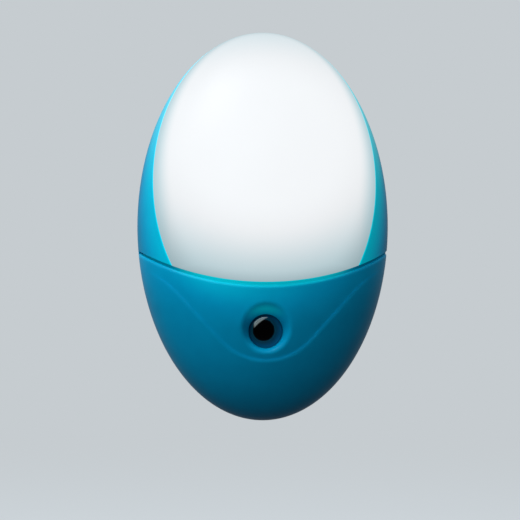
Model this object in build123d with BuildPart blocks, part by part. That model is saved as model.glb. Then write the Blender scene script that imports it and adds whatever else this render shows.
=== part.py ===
"""A plug-in LED night light with a dusk sensor.

An egg-shaped housing, made of a rear shell, a front cover and a glowing diffuser, swivels on a
two-pin plug. Millimetres. The origin is the middle of the plug's face, between the pins. +Y points
into the wall socket, so the light faces -Y, and +Z is up.
"""

import os
from functools import cache
from math import asin, cos, degrees, radians, sin, sqrt, tan

from build123d import *

# ---------------------------------------------------------------- driving dimensions
# Housing
body_half_width = 32.0
body_half_height = 49.5
dome_depth = 23.0  # from the widest section to the foremost point
back_depth = 11.0  # from the widest section to the flat back
back_rounding = 6.0
wall = 2.0
chin_drop = 32.5  # of the housing's lowest point below the plug's axis

# Parting of the diffuser: a flat cut through the crown, leaning out towards the chin
parting_tilt = 14.5  # degrees from upright
seam_behind_widest = 2.0  # seam of the front cover, behind the widest section
seam_gap = 0.1
lip_height = 1.5  # of the tongues that stand behind a seam
lip_thickness = 1.0
lip_clearance = 0.1
lip_root = 2.0  # stretch over which a tongue grows out of its own wall
lip_root_depth = 0.6  # of that root into the tongue's thickness

# Upper edge of the front cover, an arc that dips in the middle
cover_rise = 35.5  # above the housing's lowest point, in the middle
cover_side_rise = 43.5  # above it, at the sides
groove_middle = 1.0  # width of the shadow groove above that edge
groove_side = 0.45
groove_depth = 1.2
chin_rounding = 0.45
chin_lip_drop = 3.0  # of the tongue behind that edge, below it

# Scooped collar on the front cover, outlined by a flared V
collar_depth = 0.6
collar_fade = 0.1  # how far the scooping surface stands outside the housing's widest section
collar_rise = 16.6  # of its lowest point above the housing's
collar_bottom_radius = 15.0
collar_slope = 47.5  # degrees, of the V's straight flanks
collar_flank_length = 15.4
collar_flare_radius = 25.0
collar_end_slope = 15.0  # degrees

# Dusk sensor
sensor_rise = 23.85  # above the housing's lowest point
dish_depth = 2.6  # from the collar's surface to the dish's inner edge
dish_rounding = 0.9
bore_rounding = 0.25
dish_half_angle = 35.3
sensor_bore = 4.3  # radius
sensor_bore_depth = 2.8  # from the dish's inner edge to the lens' flange
sensor_boss_wall = 2.0
lens_clearance = 0.1
lens_flange_radius = 5.0
lens_flange_thickness = 0.8
lens_below_mouth = 0.6  # crown of the lens behind the dish's inner edge
lens_crown = 0.85
holder_radius = 3.8
holder_seat_radius = 2.6
holder_bore = 1.9
photocell_radius = 2.5
photocell_height = 2.1

# Plug and swivel
pin_spacing = 19.0
pin_radius = 2.0
pin_length = 19.0
pin_tip_rounding = 1.3
pin_core_radius = 1.5
sleeve_length = 10.0
sleeve_root_radius = 2.4
sleeve_root_depth = 3.0
press_clearance = 0.03
nose_width = 34.0
nose_height = 13.7
nose_corner = 5.0
nose_length = 18.0
nose_rounding = 1.0
neck_radius = 17.6
neck_clearance = 0.3
flange_overlap = 2.0  # of the rotor's flange beyond its neck
flange_thickness = 1.8
swivel_gap = 0.25
lug_height = 1.0
lug_root = 2.0  # of the lug into the flange
lug_width = 3.4
lug_angle = 45.0
swivel_travel = 90.0
stop_height = 1.8
stop_width = 1.6
stop_slack = 0.5  # degrees left between the lug and a stop
washer_thickness = 0.4
washer_gap = 0.2
washer_width = 2.6
retainer_thickness = 1.8
retainer_width = 3.9
retainer_margin = 0.7  # of the retainer beyond the flange
ear_radius = 2.6
ear_angle = 50.0
ear_gap = 0.8  # between the lug's path and an ear's boss

# Sliding contacts
ring_thickness = 0.7
ring_width = 2.4
ring_clearance = 0.5  # between a ring and the rivets
rivet_radius = 2.4
rivet_height = 0.6
brush_thickness = 0.35
brush_width = 2.2
brush_gap = 0.15
brush_pad = 1.8
brush_foot = 2.5
brush_bend = 1.6
brush_lift = 1.2  # of the arm above the retainer
brush_reach_outer = 10.6  # from the pad to the foot
brush_reach_inner = 9.6

# Fasteners
case_screw_radius = 1.3
case_screw_length = 12.0
case_head_radius = 2.3
case_head_height = 1.7
case_seat_depth = 2.6
case_tube_radius = 3.7
case_tube_height = 3.0
case_tube_gap = 0.2  # between the lower tube and the retainer
case_post_radius = 2.7
case_screw_margin = 9.5  # of the upper screw below the housing's crown
small_screw_radius = 1.0
small_screw_length = 4.5
small_head_radius = 2.0
small_head_height = 1.4
head_clearance = 0.3
screw_clearance = 0.15
thread_clearance = 0.03
pilot_spare = 0.4
cross_span = 1.1  # of a screw's cross recess, in radii of its head
cross_width = 0.25
cross_sink = 0.6  # its depth, in heights of the head

# Circuit board
board_gap = 1.95  # from the retainer's screws to the board
board_thickness = 1.6
board_clearance = 0.5  # from the snap tabs to the board's edge
board_bottom_margin = 14.0  # of its lower edge above the housing's lowest point
board_top_margin = 15.0  # of its upper edge below the housing's crown
board_post_drops = [46.5, 20.5]  # of the posts below the housing's crown
board_post_margin = 4.1  # of the posts from the board's side edge
board_post_radius = 2.4

# Lamps and the reflector tray
led_aside = 8.0
led_drops = [36.0, 22.0]  # below the housing's crown
led_radius = 2.4
led_rim_radius = 2.8
led_rim_height = 1.0
led_height = 5.2
led_dome = 0.9  # rounding of the lamp's tip, in its radii
led_standoff = 0.5
led_clearance = 0.3
tray_thickness = 1.0
tray_clearance = 0.4
tray_rim_height = 3.4
baffle_thickness = 1.2
baffle_rise = 1.8  # of the baffle above the diffuser's lower edge
peg_radius = 1.2
peg_tip_radius = 0.8
peg_aside = 16.0
peg_drops = (28.5, 45.5)  # of the middle and the side pegs below the housing's crown

# Parts on the board: across from its middle, and up from its lower edge
lead_radius = 0.28
lead_tail = 0.6
lead_bend = 0.56  # radius, along the middle of the wire
lead_hole_clearance = 0.08
lead_pitch = 2.54
film_spot = (-13.5, 13.5)
film_size = (6.0, 13.0, 9.5)
film_pitch = 10.0
can_spot = (14.0, 15.5)
can_radius = 4.0
can_height = 11.0
can_groove = 0.35  # depth of the crimp round the can
can_groove_rise = 1.5  # of the crimp above the board
can_groove_half = 0.5  # half of its width
can_pitch = 3.5
bridge_spot = (15.0, 6.0)
bridge_size = (8.5, 6.4, 3.2)
transistor_spot = (6.5, 17.0)
transistor_radius = 2.3
transistor_flat = 1.2
transistor_height = 4.6
transistor_lift = 1.5
fuse_spot = (-9.5, 3.0)
fuse_size = (1.6, 9.0)  # radius and length
fuse_pitch = 12.7
bleeder_spot = (5.6, 2.7)
bleeder_size = (1.1, 4.4)
bleeder_pitch = 7.62
zener_spot = (-5.0, 17.5)
zener_size = (1.0, 4.0)
zener_pitch = 7.62
part_lift = 0.4  # of lying parts above the board
part_edge = 0.4

# Snap tabs of the front cover
tab_rise = 28.5  # above the housing's lowest point
tab_width = 6.0
tab_length = 4.5
tab_thickness = 1.2
nub_height = 0.6
nub_length = 1.2
nub_clearance = 0.1

# Marks on the back
label_width = 24.0
label_height = 14.0
label_corner = 2.0
label_depth = 0.3
label_drop = 26.5  # below the housing's crown
mark_radius = 0.6
mark_margin = 2.0

# ---------------------------------------------------------------- places worked out from them
z_bottom = -chin_drop
z_centre = z_bottom + body_half_height
z_top = z_centre + body_half_height
y_back = -nose_length
y_back_inside = y_back - wall
y_widest = y_back - back_depth
y_front = y_widest - dome_depth
y_seam = y_widest + seam_behind_widest
reach = 10.0  # how far cutting shapes run past the housing

flange_radius = neck_radius + flange_overlap
lug_reach = flange_radius + lug_height
y_flange = y_back_inside - swivel_gap
y_flange_front = y_flange - flange_thickness
y_ring_front = y_flange_front - ring_thickness
y_rivet_front = y_ring_front - rivet_height
y_washer = y_flange_front - washer_gap
y_retainer = y_washer - washer_thickness
y_retainer_front = y_retainer - retainer_thickness
retainer_radius = flange_radius + retainer_margin
ear_distance = lug_reach + ear_gap + ear_radius
ear_angles = [ear_angle, 180 - ear_angle, 180 + ear_angle, -ear_angle]
ears = [(ear_distance * cos(radians(a)), ear_distance * sin(radians(a))) for a in ear_angles]
pins = [(-pin_spacing / 2, 0), (pin_spacing / 2, 0)]

y_board = y_retainer_front - small_head_height - board_gap
y_board_front = y_board - board_thickness
board_inset = wall + lip_clearance + tab_thickness + board_clearance
z_board_bottom = z_bottom + board_bottom_margin
z_board_top = z_top - board_top_margin
y_led = y_board_front - led_standoff
y_tray = y_led - led_rim_height - led_clearance
y_tray_front = y_tray - tray_thickness
tray_inset = wall + lip_clearance + lip_thickness + tray_clearance

lower_screw = (0.0, -(retainer_radius + case_tube_gap + case_tube_radius))
upper_screw = (0.0, z_top - case_screw_margin)
case_places = [lower_screw, upper_screw]
y_post = y_back_inside - case_tube_height - seam_gap
y_case_seat = y_back - case_seat_depth


def board_side(z):
    """Half of the board's width at a height."""
    share = (z - z_centre) / (body_half_height - board_inset)
    return (body_half_width - board_inset) * sqrt(1 - share**2)


def on_board(spot):
    """A place on the circuit board, given from its middle and its lower edge."""
    return (spot[0], z_board_bottom + spot[1])


def both_sides(places):
    """The given places, and their mirror images across the middle."""
    return [(side * x, z) for x, z in places for side in (-1, 1)]


def facing_room(y):
    """The upright plane at that depth. Its own axes are X and Z, and it extrudes towards the room."""
    return Plane.XZ.offset(-y)


def dome_y(z):
    """Depth of the housing's front in the middle, at a height."""
    return y_widest - dome_depth * sqrt(1 - ((z - z_centre) / body_half_height) ** 2)


post_heights = [z_top - drop for drop in board_post_drops]
board_posts = both_sides([(board_side(z) - board_post_margin, z) for z in post_heights])
film_place = on_board(film_spot)
can_place = on_board(can_spot)
bridge_place = on_board(bridge_spot)
transistor_place = on_board(transistor_spot)
fuse_place = on_board(fuse_spot)
bleeder_place = on_board(bleeder_spot)
zener_place = on_board(zener_spot)

# ---------------------------------------------------------------- shared forms
@cache
def dome(half_width, depth, half_height):
    """Half of an egg, from the widest section to the foremost point."""
    with BuildPart() as unit:
        with BuildSketch(Plane.XY):
            with BuildLine():
                CenterArc((0, 0), 1, -90, 90)
                Polyline((1, 0), (0, 0), (0, -1))
            make_face()
        revolve(axis=Axis.Y)
        scale(by=(half_width, depth, half_height))
    with BuildPart() as placed:
        with Locations((0, y_widest, z_centre)):
            add(unit.part)
    return placed.part


@cache
def body_form(inset):
    """The whole housing as a solid, shrunk by inset on every side."""
    with BuildPart() as form:
        with BuildSketch(facing_room(y_widest)):
            with Locations((0, z_centre)):
                Ellipse(body_half_width - inset, body_half_height - inset)
        extrude(amount=-(back_depth - inset))
        fillet(form.edges().sort_by(Axis.Y)[-1], back_rounding - inset)
        add(dome(body_half_width - inset, dome_depth - inset, body_half_height - inset))
    return form.part


@cache
def skin(outer_inset, inner_inset):
    """The layer of the housing between two insets."""
    with BuildPart() as layer:
        add(body_form(outer_inset))
        add(body_form(inner_inset), mode=Mode.SUBTRACT)
    return layer.part


def slab(y_from, y_to, z_low=z_bottom - reach, z_high=z_top + reach):
    """A block across the housing between two depths and two heights. y_from is nearer the wall."""
    with BuildPart() as block:
        with BuildSketch(facing_room(y_from)):
            with Locations((0, (z_low + z_high) / 2)):
                Rectangle(2 * (body_half_width + reach), z_high - z_low)
        extrude(amount=y_from - y_to)
    return block.part


def parting_y(z, shift):
    """Depth of the parting plane at a height, moved towards the wall by shift."""
    return y_widest - (z_top - z) * tan(radians(parting_tilt)) + shift


def ahead_of_parting(shift=0.0):
    """The space ahead of the parting plane, moved towards the wall by shift."""
    z_low = z_bottom - reach
    z_high = z_top + reach
    y_room = y_front - reach
    foot = (parting_y(z_low, shift), z_low)
    head = (parting_y(z_high, shift), z_high)
    with BuildPart() as wedge:
        with BuildSketch(Plane.YZ):
            with BuildLine():
                Polyline(foot, (y_room, z_low), (y_room, z_high), head, close=True)
            make_face()
        extrude(amount=body_half_width + reach, both=True)
    return wedge.part


def above_chin(rise_middle=0.0, rise_side=0.0):
    """The space above the front cover's upper edge, with that edge raised."""
    x_end = body_half_width + reach
    z_middle = z_bottom + cover_rise + rise_middle
    z_side = z_bottom + cover_side_rise + rise_side
    z_end = z_middle + (z_side - z_middle) * (x_end / body_half_width) ** 2
    z_high = z_top + reach
    with BuildPart() as space:
        with BuildSketch(facing_room(y_back + reach)):
            with BuildLine():
                ThreePointArc((-x_end, z_end), (0, z_middle), (x_end, z_end))
                Polyline((x_end, z_end), (x_end, z_high), (-x_end, z_high), (-x_end, z_end))
            make_face()
        extrude(amount=y_back - y_front + 2 * reach)
    return space.part


def above_groove(rise=0.0):
    """The space above the shadow groove, with the groove's upper edge raised."""
    return above_chin(groove_middle + rise, groove_side + rise)


def round_bars(places, radius, y_from, y_to):
    """Round bars along Y at the given places. y_from is nearer the wall."""
    with BuildPart() as bars:
        with BuildSketch(facing_room(y_from)):
            with Locations(*places):
                Circle(radius)
        extrude(amount=y_from - y_to)
    return bars.part


def turned(profile, place=(0, 0)):
    """A turned piece on an axis along Y. The profile's points are radius and depth."""
    with BuildPart() as blank:
        with BuildSketch(Plane.XY):
            with BuildLine():
                Polyline(*profile, close=True)
            make_face()
        revolve(axis=Axis.Y)
    with BuildPart() as piece:
        with Locations((place[0], 0, place[1])):
            add(blank.part)
    return piece.part


def crown_arc(radius, y_shoulder, y_crown):
    """Half of a shallow spherical crown, from its shoulder to its top on the axis."""
    rise = y_crown - y_shoulder
    sphere = (radius**2 + rise**2) / (2 * rise)
    half = asin(radius / abs(sphere)) / 2
    middle = (abs(sphere) * sin(half), y_crown - sphere * (1 - cos(half)))
    return ThreePointArc((radius, y_shoulder), middle, (0, y_crown))


def screw(radius, length, head_radius, head_height, side):
    """A cross-head screw with its seat at the origin and its head on the given side, 1 for +Y."""
    straight = head_height / 2
    slot = head_radius * cross_span
    slot_width = head_radius * cross_width
    point = [(0, -side * length), (radius / 2, -side * length), (radius, -side * (length - radius))]
    with BuildPart() as body:
        with BuildSketch(Plane.XY):
            with BuildLine():
                Polyline(*point, (radius, 0), (head_radius, 0))
                Line((head_radius, 0), (head_radius, side * straight))
                crown_arc(head_radius, side * straight, side * head_height)
                Line((0, side * head_height), (0, -side * length))
            make_face()
        revolve(axis=Axis.Y)
        with BuildSketch(facing_room(side * head_height)):
            Rectangle(slot, slot_width)
            Rectangle(slot_width, slot)
        extrude(amount=side * head_height * cross_sink, mode=Mode.SUBTRACT)
    return body.part


def screws_at(places, y_seat, one):
    """A group of screws with their seats at one depth."""
    with BuildPart() as group:
        with Locations(*[(x, y_seat, z) for x, z in places]):
            add(one)
    return group.part


# ---------------------------------------------------------------- rear shell
neck_hole = neck_radius + neck_clearance
small_pilot = small_screw_radius + thread_clearance
case_pilot = case_screw_radius + thread_clearance
y_nub = y_seam + tab_length - nub_length


def snap_nubs(margin):
    """Nubs on the front cover's snap tabs, or with a margin the pockets that they click into."""
    z_tab = z_bottom + tab_rise
    half = tab_width / 2 - part_edge + margin
    band = slab(y_nub + nub_length + margin, y_nub - margin, z_tab - half, z_tab + half)
    with BuildPart() as nubs:
        add(skin(wall - nub_height - margin, wall + lip_clearance + tab_thickness / 2))
        add(band, mode=Mode.INTERSECT)
    return nubs.part


def travel_stops():
    """Two ribs beside the lug's path, one at each end of the swivel's travel."""
    half_lug = degrees(lug_width / 2 / flange_radius)
    half_stop = degrees(stop_width / 2 / flange_radius)
    aside = half_lug + stop_slack + half_stop
    distance = flange_radius + swivel_gap + stop_height / 2
    with BuildPart() as ribs:
        for angle in (lug_angle - aside, lug_angle + swivel_travel + aside):
            with BuildSketch(facing_room(y_back - wall / 2)):
                with PolarLocations(distance, 1, start_angle=angle):
                    Rectangle(stop_height, stop_width)
            extrude(amount=wall / 2 + swivel_gap + flange_thickness)
    return ribs.part


# wings of the rear shell, which run forward beside the diffuser as far as its parting
with BuildPart() as wings:
    add(above_groove())
    add(ahead_of_parting(), mode=Mode.SUBTRACT)

with BuildPart() as rear_zone:
    add(slab(y_back + reach, y_seam))
    add(wings.part)

# what stands up inside the rear shell: screw tubes, board posts, the retainer's bosses and the stops
with BuildPart() as rear_uprights:
    add(round_bars(case_places, case_tube_radius, y_back, y_back_inside - case_tube_height))
    add(round_bars(board_posts, board_post_radius, y_back, y_board))
    add(round_bars(ears, ear_radius, y_back, y_retainer))
    add(travel_stops())
    add(body_form(wall / 2), mode=Mode.INTERSECT)

with BuildPart() as rear_shell:
    add(skin(0.0, wall))
    add(rear_zone.part, mode=Mode.INTERSECT)
    add(rear_uprights.part)
    # hole for the rotor's neck, counterbored screw holes, pilot holes and the tabs' pockets
    add(round_bars([(0, 0)], neck_hole, y_back + reach, y_board), mode=Mode.SUBTRACT)
    add(round_bars(case_places, case_head_radius + head_clearance, y_back, y_case_seat), mode=Mode.SUBTRACT)
    add(round_bars(case_places, case_screw_radius + screw_clearance, y_back, y_board), mode=Mode.SUBTRACT)
    y_board_pilot = y_board_front + small_screw_length + pilot_spare
    add(round_bars(board_posts, small_pilot, y_board_pilot, y_board), mode=Mode.SUBTRACT)
    y_ear_pilot = y_retainer_front + small_screw_length + pilot_spare
    add(round_bars(ears, small_pilot, y_ear_pilot, y_retainer), mode=Mode.SUBTRACT)
    add(snap_nubs(nub_clearance), mode=Mode.SUBTRACT)
    # bare recess for a label, and two dots that mark the swivel's end positions
    with BuildSketch(facing_room(y_back)):
        with Locations((0, z_top - label_drop)):
            RectangleRounded(label_width, label_height, label_corner)
        with Locations((0, neck_hole + mark_margin), (-neck_hole - mark_margin, 0)):
            Circle(mark_radius)
    extrude(amount=label_depth, mode=Mode.SUBTRACT)

# ---------------------------------------------------------------- diffuser
# tongue along the parting, which stands behind the wings, and the post for the upper screw
tongue_outer = wall + lip_clearance
tongue_inner = tongue_outer + lip_thickness
root_inner = tongue_outer + lip_root_depth

with BuildPart() as diffuser_tongue:
    add(skin(tongue_outer, tongue_inner))
    add(ahead_of_parting(lip_height), mode=Mode.INTERSECT)
    add(ahead_of_parting(-lip_root), mode=Mode.SUBTRACT)
    add(above_groove(lip_height + tray_clearance), mode=Mode.INTERSECT)

with BuildPart() as diffuser_root:
    add(skin(wall / 2, root_inner))
    add(ahead_of_parting(-seam_gap), mode=Mode.INTERSECT)
    add(ahead_of_parting(-lip_root + seam_gap), mode=Mode.SUBTRACT)
    add(above_groove(lip_height + 2 * tray_clearance), mode=Mode.INTERSECT)

with BuildPart() as diffuser_post:
    add(round_bars([upper_screw], case_post_radius, y_post, y_front))
    add(body_form(wall / 2), mode=Mode.INTERSECT)

with BuildPart() as diffuser:
    add(skin(0.0, wall))
    add(ahead_of_parting(), mode=Mode.INTERSECT)
    add(above_groove(), mode=Mode.INTERSECT)
    add(diffuser_root.part)
    add(diffuser_tongue.part)
    add(diffuser_post.part)
    y_case_pilot = y_case_seat - case_screw_length - pilot_spare
    add(round_bars([upper_screw], case_pilot, y_post, y_case_pilot), mode=Mode.SUBTRACT)

# ---------------------------------------------------------------- front cover
z_sensor = z_bottom + sensor_rise
y_mouth = dome_y(z_sensor) + collar_depth + dish_depth
y_ledge = y_mouth + sensor_bore_depth
y_lens_back = y_ledge + lens_flange_thickness
y_holder = y_lens_back + lens_clearance
y_boss_end = y_lens_back + lens_flange_thickness
dish_slope = tan(radians(dish_half_angle))
y_dish = y_mouth - dish_depth - collar_depth - reach
lens_radius = sensor_bore - lens_clearance
flange_bore = lens_flange_radius + lens_clearance


def is_chin_edge(edge):
    """Whether an edge is the outer one of the cover's two long upper edges."""
    box = edge.bounding_box()
    z_edge = z_bottom + cover_rise
    at_chin = abs(box.min.Z - z_edge) < seam_gap
    outside = box.min.Y < dome_y(z_edge) + (collar_depth + groove_depth) / 2
    return at_chin and outside and box.size.X > body_half_width


def is_dish_rim(edge):
    """Whether an edge is where the dish meets the cover's outside."""
    box = edge.bounding_box()
    centred = abs(box.center().X) < seam_gap and box.size.X < 2 * (sensor_bore + dish_depth)
    return centred and box.size.X > 2 * sensor_bore + dish_rounding and box.min.Y < dome_y(z_sensor)


def is_bore_mouth(edge):
    """Whether an edge is the dish's inner edge, where the bore begins."""
    round_one = edge.geom_type == GeomType.CIRCLE and abs(edge.radius - sensor_bore) < seam_gap
    return round_one and abs(edge.center().Y - y_mouth) < seam_gap


def collar_zone():
    """The space above the flared V that outlines the scooped collar."""
    z_high = z_top + reach
    bend = collar_slope - collar_end_slope
    with BuildPart() as space:
        with BuildSketch(facing_room(y_back)):
            with BuildLine():
                bottom = JernArc((0, z_bottom + collar_rise), (1, 0), collar_bottom_radius, collar_slope)
                flank = Line(bottom @ 1, bottom @ 1 + (bottom % 1) * collar_flank_length)
                flare = JernArc(flank @ 1, flank % 1, collar_flare_radius, -bend)
                tail = Line(flare @ 1, flare @ 1 + (flare % 1) * reach)
                Polyline(tail @ 1, ((tail @ 1).X, z_high), (0, z_high))
                mirror(about=Plane.YZ)
            make_face()
        extrude(amount=y_back - y_front + reach)
    return space.part


with BuildPart() as collar_scoop:
    add(collar_zone())
    scoop_width = body_half_width + collar_fade
    scoop_height = body_half_height + collar_fade
    add(dome(scoop_width, dome_depth - collar_depth, scoop_height), mode=Mode.SUBTRACT)
    add(slab(y_back + reach, y_widest), mode=Mode.SUBTRACT)

# tongues behind the cover's edges: round the back seam, and behind the diffuser and the wings
with BuildPart() as seam_tongue:
    add(skin(tongue_outer, tongue_inner))
    add(slab(y_seam + lip_height, y_widest - lip_root), mode=Mode.INTERSECT)
    add(above_chin(-lip_root, -lip_root), mode=Mode.SUBTRACT)

with BuildPart() as seam_root:
    add(skin(wall / 2, root_inner))
    add(slab(y_seam - 2 * seam_gap, y_widest - lip_root / 2), mode=Mode.INTERSECT)
    add(above_chin(-lip_root / 2, -lip_root / 2), mode=Mode.SUBTRACT)

with BuildPart() as chin_tongue:
    add(skin(tongue_outer + seam_gap / 2, tongue_inner - seam_gap / 2))
    add(slab(y_seam - seam_gap, y_front), mode=Mode.INTERSECT)
    add(above_chin(-chin_lip_drop, -chin_lip_drop), mode=Mode.INTERSECT)
    add(above_groove(lip_height), mode=Mode.SUBTRACT)

# the floor of the shadow groove, which also joins that tongue to the cover
with BuildPart() as groove_floor:
    add(skin(groove_depth, root_inner))
    add(slab(y_seam - 2 * seam_gap, y_front), mode=Mode.INTERSECT)
    add(above_chin(-lip_root / 2, -lip_root / 2), mode=Mode.INTERSECT)
    add(above_groove(-seam_gap), mode=Mode.SUBTRACT)

with BuildPart() as snap_tabs:
    z_tab = z_bottom + tab_rise
    add(skin(tongue_outer + seam_gap / 2, tongue_outer + tab_thickness))
    add(slab(y_seam + tab_length, y_widest - lip_root / 2), mode=Mode.INTERSECT)
    add(slab(y_back, y_front, z_tab - tab_width / 2, z_tab + tab_width / 2), mode=Mode.INTERSECT)

# the boss behind the dish, and the post for the lower screw
with BuildPart() as sensor_boss:
    boss_radius = sensor_bore + sensor_boss_wall
    boss_mouth = boss_radius + dish_slope * (y_mouth - y_dish)
    boss_profile = [(0, y_boss_end), (boss_radius, y_boss_end), (boss_radius, y_mouth)]
    add(turned(boss_profile + [(boss_mouth, y_dish), (0, y_dish)], (0, z_sensor)))
    add(body_form(wall / 2), mode=Mode.INTERSECT)

with BuildPart() as cover_post:
    add(round_bars([lower_screw], case_post_radius, y_post, y_front))
    add(body_form(wall / 2), mode=Mode.INTERSECT)

with BuildPart() as front_cover:
    add(skin(0.0, wall))
    add(slab(y_seam - seam_gap, y_front - reach), mode=Mode.INTERSECT)
    add(above_chin(), mode=Mode.SUBTRACT)
    add(groove_floor.part)
    add(chin_tongue.part)
    add(seam_root.part)
    add(seam_tongue.part)
    add(snap_tabs.part)
    add(snap_nubs(0.0))
    add(cover_post.part)
    add(sensor_boss.part)
    # the collar, the dish, the stepped bore of the lens and the screw's pilot hole
    add(collar_scoop.part, mode=Mode.SUBTRACT)
    dish_mouth = sensor_bore + dish_slope * (y_mouth - y_dish)
    y_behind = y_boss_end + lens_clearance
    bore_profile = [(0, y_dish), (dish_mouth, y_dish), (sensor_bore, y_mouth), (sensor_bore, y_ledge)]
    bore_profile += [(flange_bore, y_ledge), (flange_bore, y_behind), (0, y_behind)]
    add(turned(bore_profile, (0, z_sensor)), mode=Mode.SUBTRACT)
    add(round_bars([lower_screw], case_pilot, y_post, y_case_pilot), mode=Mode.SUBTRACT)
    # softened edges: the upper edge, the dish's rim and the mouth of the bore
    fillet(front_cover.edges().filter_by(is_chin_edge), chin_rounding)
    fillet(front_cover.edges().filter_by(is_dish_rim), dish_rounding)
    fillet(front_cover.edges().filter_by(is_bore_mouth), bore_rounding)

# ---------------------------------------------------------------- dusk sensor
y_lens_crown = y_mouth + lens_below_mouth
y_lens_shoulder = y_lens_crown + lens_crown
y_photocell = y_holder + photocell_height
sensor_leads = [(side * lead_pitch / 2, z_sensor) for side in (-1, 1)]
lead_end = y_board + lead_tail

with BuildPart() as lens_blank:
    with BuildSketch(Plane.XY):
        with BuildLine():
            base = [(0, y_lens_back), (lens_flange_radius, y_lens_back), (lens_flange_radius, y_ledge)]
            Polyline(*base, (lens_radius, y_ledge), (lens_radius, y_lens_shoulder))
            crown_arc(lens_radius, y_lens_shoulder, y_lens_crown)
            Line((0, y_lens_crown), (0, y_lens_back))
        make_face()
    revolve(axis=Axis.Y)

with BuildPart() as sensor_lens:
    with Locations((0, 0, z_sensor)):
        add(lens_blank.part)

with BuildPart() as sensor_holder:
    add(round_bars([(0, z_sensor)], holder_radius, y_board_front, y_holder))
    add(round_bars([(0, z_sensor)], holder_seat_radius, y_photocell, y_holder), mode=Mode.SUBTRACT)
    add(round_bars([(0, z_sensor)], holder_bore, y_board_front, y_photocell), mode=Mode.SUBTRACT)

with BuildPart() as photocell:
    add(round_bars([(0, z_sensor)], photocell_radius, y_photocell, y_holder))
    fillet(photocell.edges().filter_by(GeomType.CIRCLE).sort_by(Axis.Y)[0], part_edge)
    add(round_bars(sensor_leads, lead_radius, lead_end, y_photocell - part_edge))

# ---------------------------------------------------------------- plug and swivel
with BuildPart() as plug_rotor:
    with BuildSketch(facing_room(0)):
        RectangleRounded(nose_width, nose_height, nose_corner)
    extrude(amount=nose_length)
    fillet(plug_rotor.faces().sort_by(Axis.Y)[-1].edges(), nose_rounding)
    add(round_bars([(0, 0)], neck_radius, y_back, y_flange))
    add(round_bars([(0, 0)], flange_radius, y_flange, y_flange_front))
    with BuildSketch(facing_room(y_flange)):
        with PolarLocations(flange_radius + (lug_height - lug_root) / 2, 1, start_angle=lug_angle):
            Rectangle(lug_height + lug_root, lug_width)
    extrude(amount=flange_thickness)
    add(round_bars(pins, pin_core_radius + press_clearance, reach, y_flange_front), mode=Mode.SUBTRACT)
    add(round_bars(pins, sleeve_root_radius + press_clearance, reach, -sleeve_root_depth), mode=Mode.SUBTRACT)
    # dot that meets one of the shell's dots at each end of the travel
    with BuildSketch(facing_room(y_back)):
        with Locations((0, neck_radius - mark_margin)):
            Circle(mark_radius)
    extrude(amount=label_depth, mode=Mode.SUBTRACT)


def pin_at(place):
    """A turned pin: a rivet head, a thin core through the plug and its sleeve, and a bare tip."""
    with BuildPart() as pin:
        add(round_bars([place], rivet_radius, y_ring_front, y_rivet_front))
        add(round_bars([place], pin_core_radius, sleeve_length, y_ring_front))
        add(round_bars([place], pin_radius, pin_length, sleeve_length))
        fillet(pin.edges().sort_by(Axis.Y)[-1], pin_tip_rounding)
    return pin.part


def sleeve_at(place):
    """The insulating sleeve of a pin, with a wider root held in the plug's face."""
    with BuildPart() as sleeve:
        add(round_bars([place], sleeve_root_radius, 0, -sleeve_root_depth))
        add(round_bars([place], pin_radius, sleeve_length, 0))
        bore = pin_core_radius + press_clearance
        add(round_bars([place], bore, sleeve_length, -sleeve_root_depth), mode=Mode.SUBTRACT)
    return sleeve.part


def contact_ring(outer_radius, place):
    """A flat slip ring on the rotor's flange, with a tab that a pin is riveted through."""
    middle = outer_radius - ring_width / 2
    side = 1 if place[0] > 0 else -1
    with BuildPart() as ring:
        with BuildSketch(facing_room(y_flange_front)):
            Circle(outer_radius)
            Circle(outer_radius - ring_width, mode=Mode.SUBTRACT)
            with Locations((side * (middle + abs(place[0])) / 2, 0)):
                Rectangle(abs(middle - abs(place[0])), ring_width)
            with Locations(place):
                Circle(rivet_radius)
                Circle(pin_core_radius + press_clearance, mode=Mode.SUBTRACT)
        extrude(amount=ring_thickness)
    return ring.part


ring_outer_radius = pin_spacing / 2 + rivet_radius + ring_clearance + ring_width
ring_inner_radius = pin_spacing / 2 - rivet_radius - ring_clearance
pin_left = pin_at(pins[0])
pin_right = pin_at(pins[1])
sleeve_left = sleeve_at(pins[0])
sleeve_right = sleeve_at(pins[1])
contact_ring_inner = contact_ring(ring_inner_radius, pins[0])
contact_ring_outer = contact_ring(ring_outer_radius, pins[1])

with BuildPart() as friction_washer:
    add(round_bars([(0, 0)], flange_radius, y_washer, y_retainer))
    add(round_bars([(0, 0)], flange_radius - washer_width, y_washer, y_retainer), mode=Mode.SUBTRACT)

with BuildPart() as swivel_retainer:
    with BuildSketch(facing_room(y_retainer)):
        Circle(retainer_radius)
        for angle in ear_angles:
            arm = ear_distance - retainer_radius + retainer_width / 2
            with PolarLocations(ear_distance - arm / 2, 1, start_angle=angle):
                Rectangle(arm, 2 * ear_radius)
        with Locations(*ears):
            Circle(ear_radius)
            Circle(small_screw_radius + screw_clearance, mode=Mode.SUBTRACT)
        Circle(retainer_radius - retainer_width, mode=Mode.SUBTRACT)
    extrude(amount=retainer_thickness)


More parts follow.
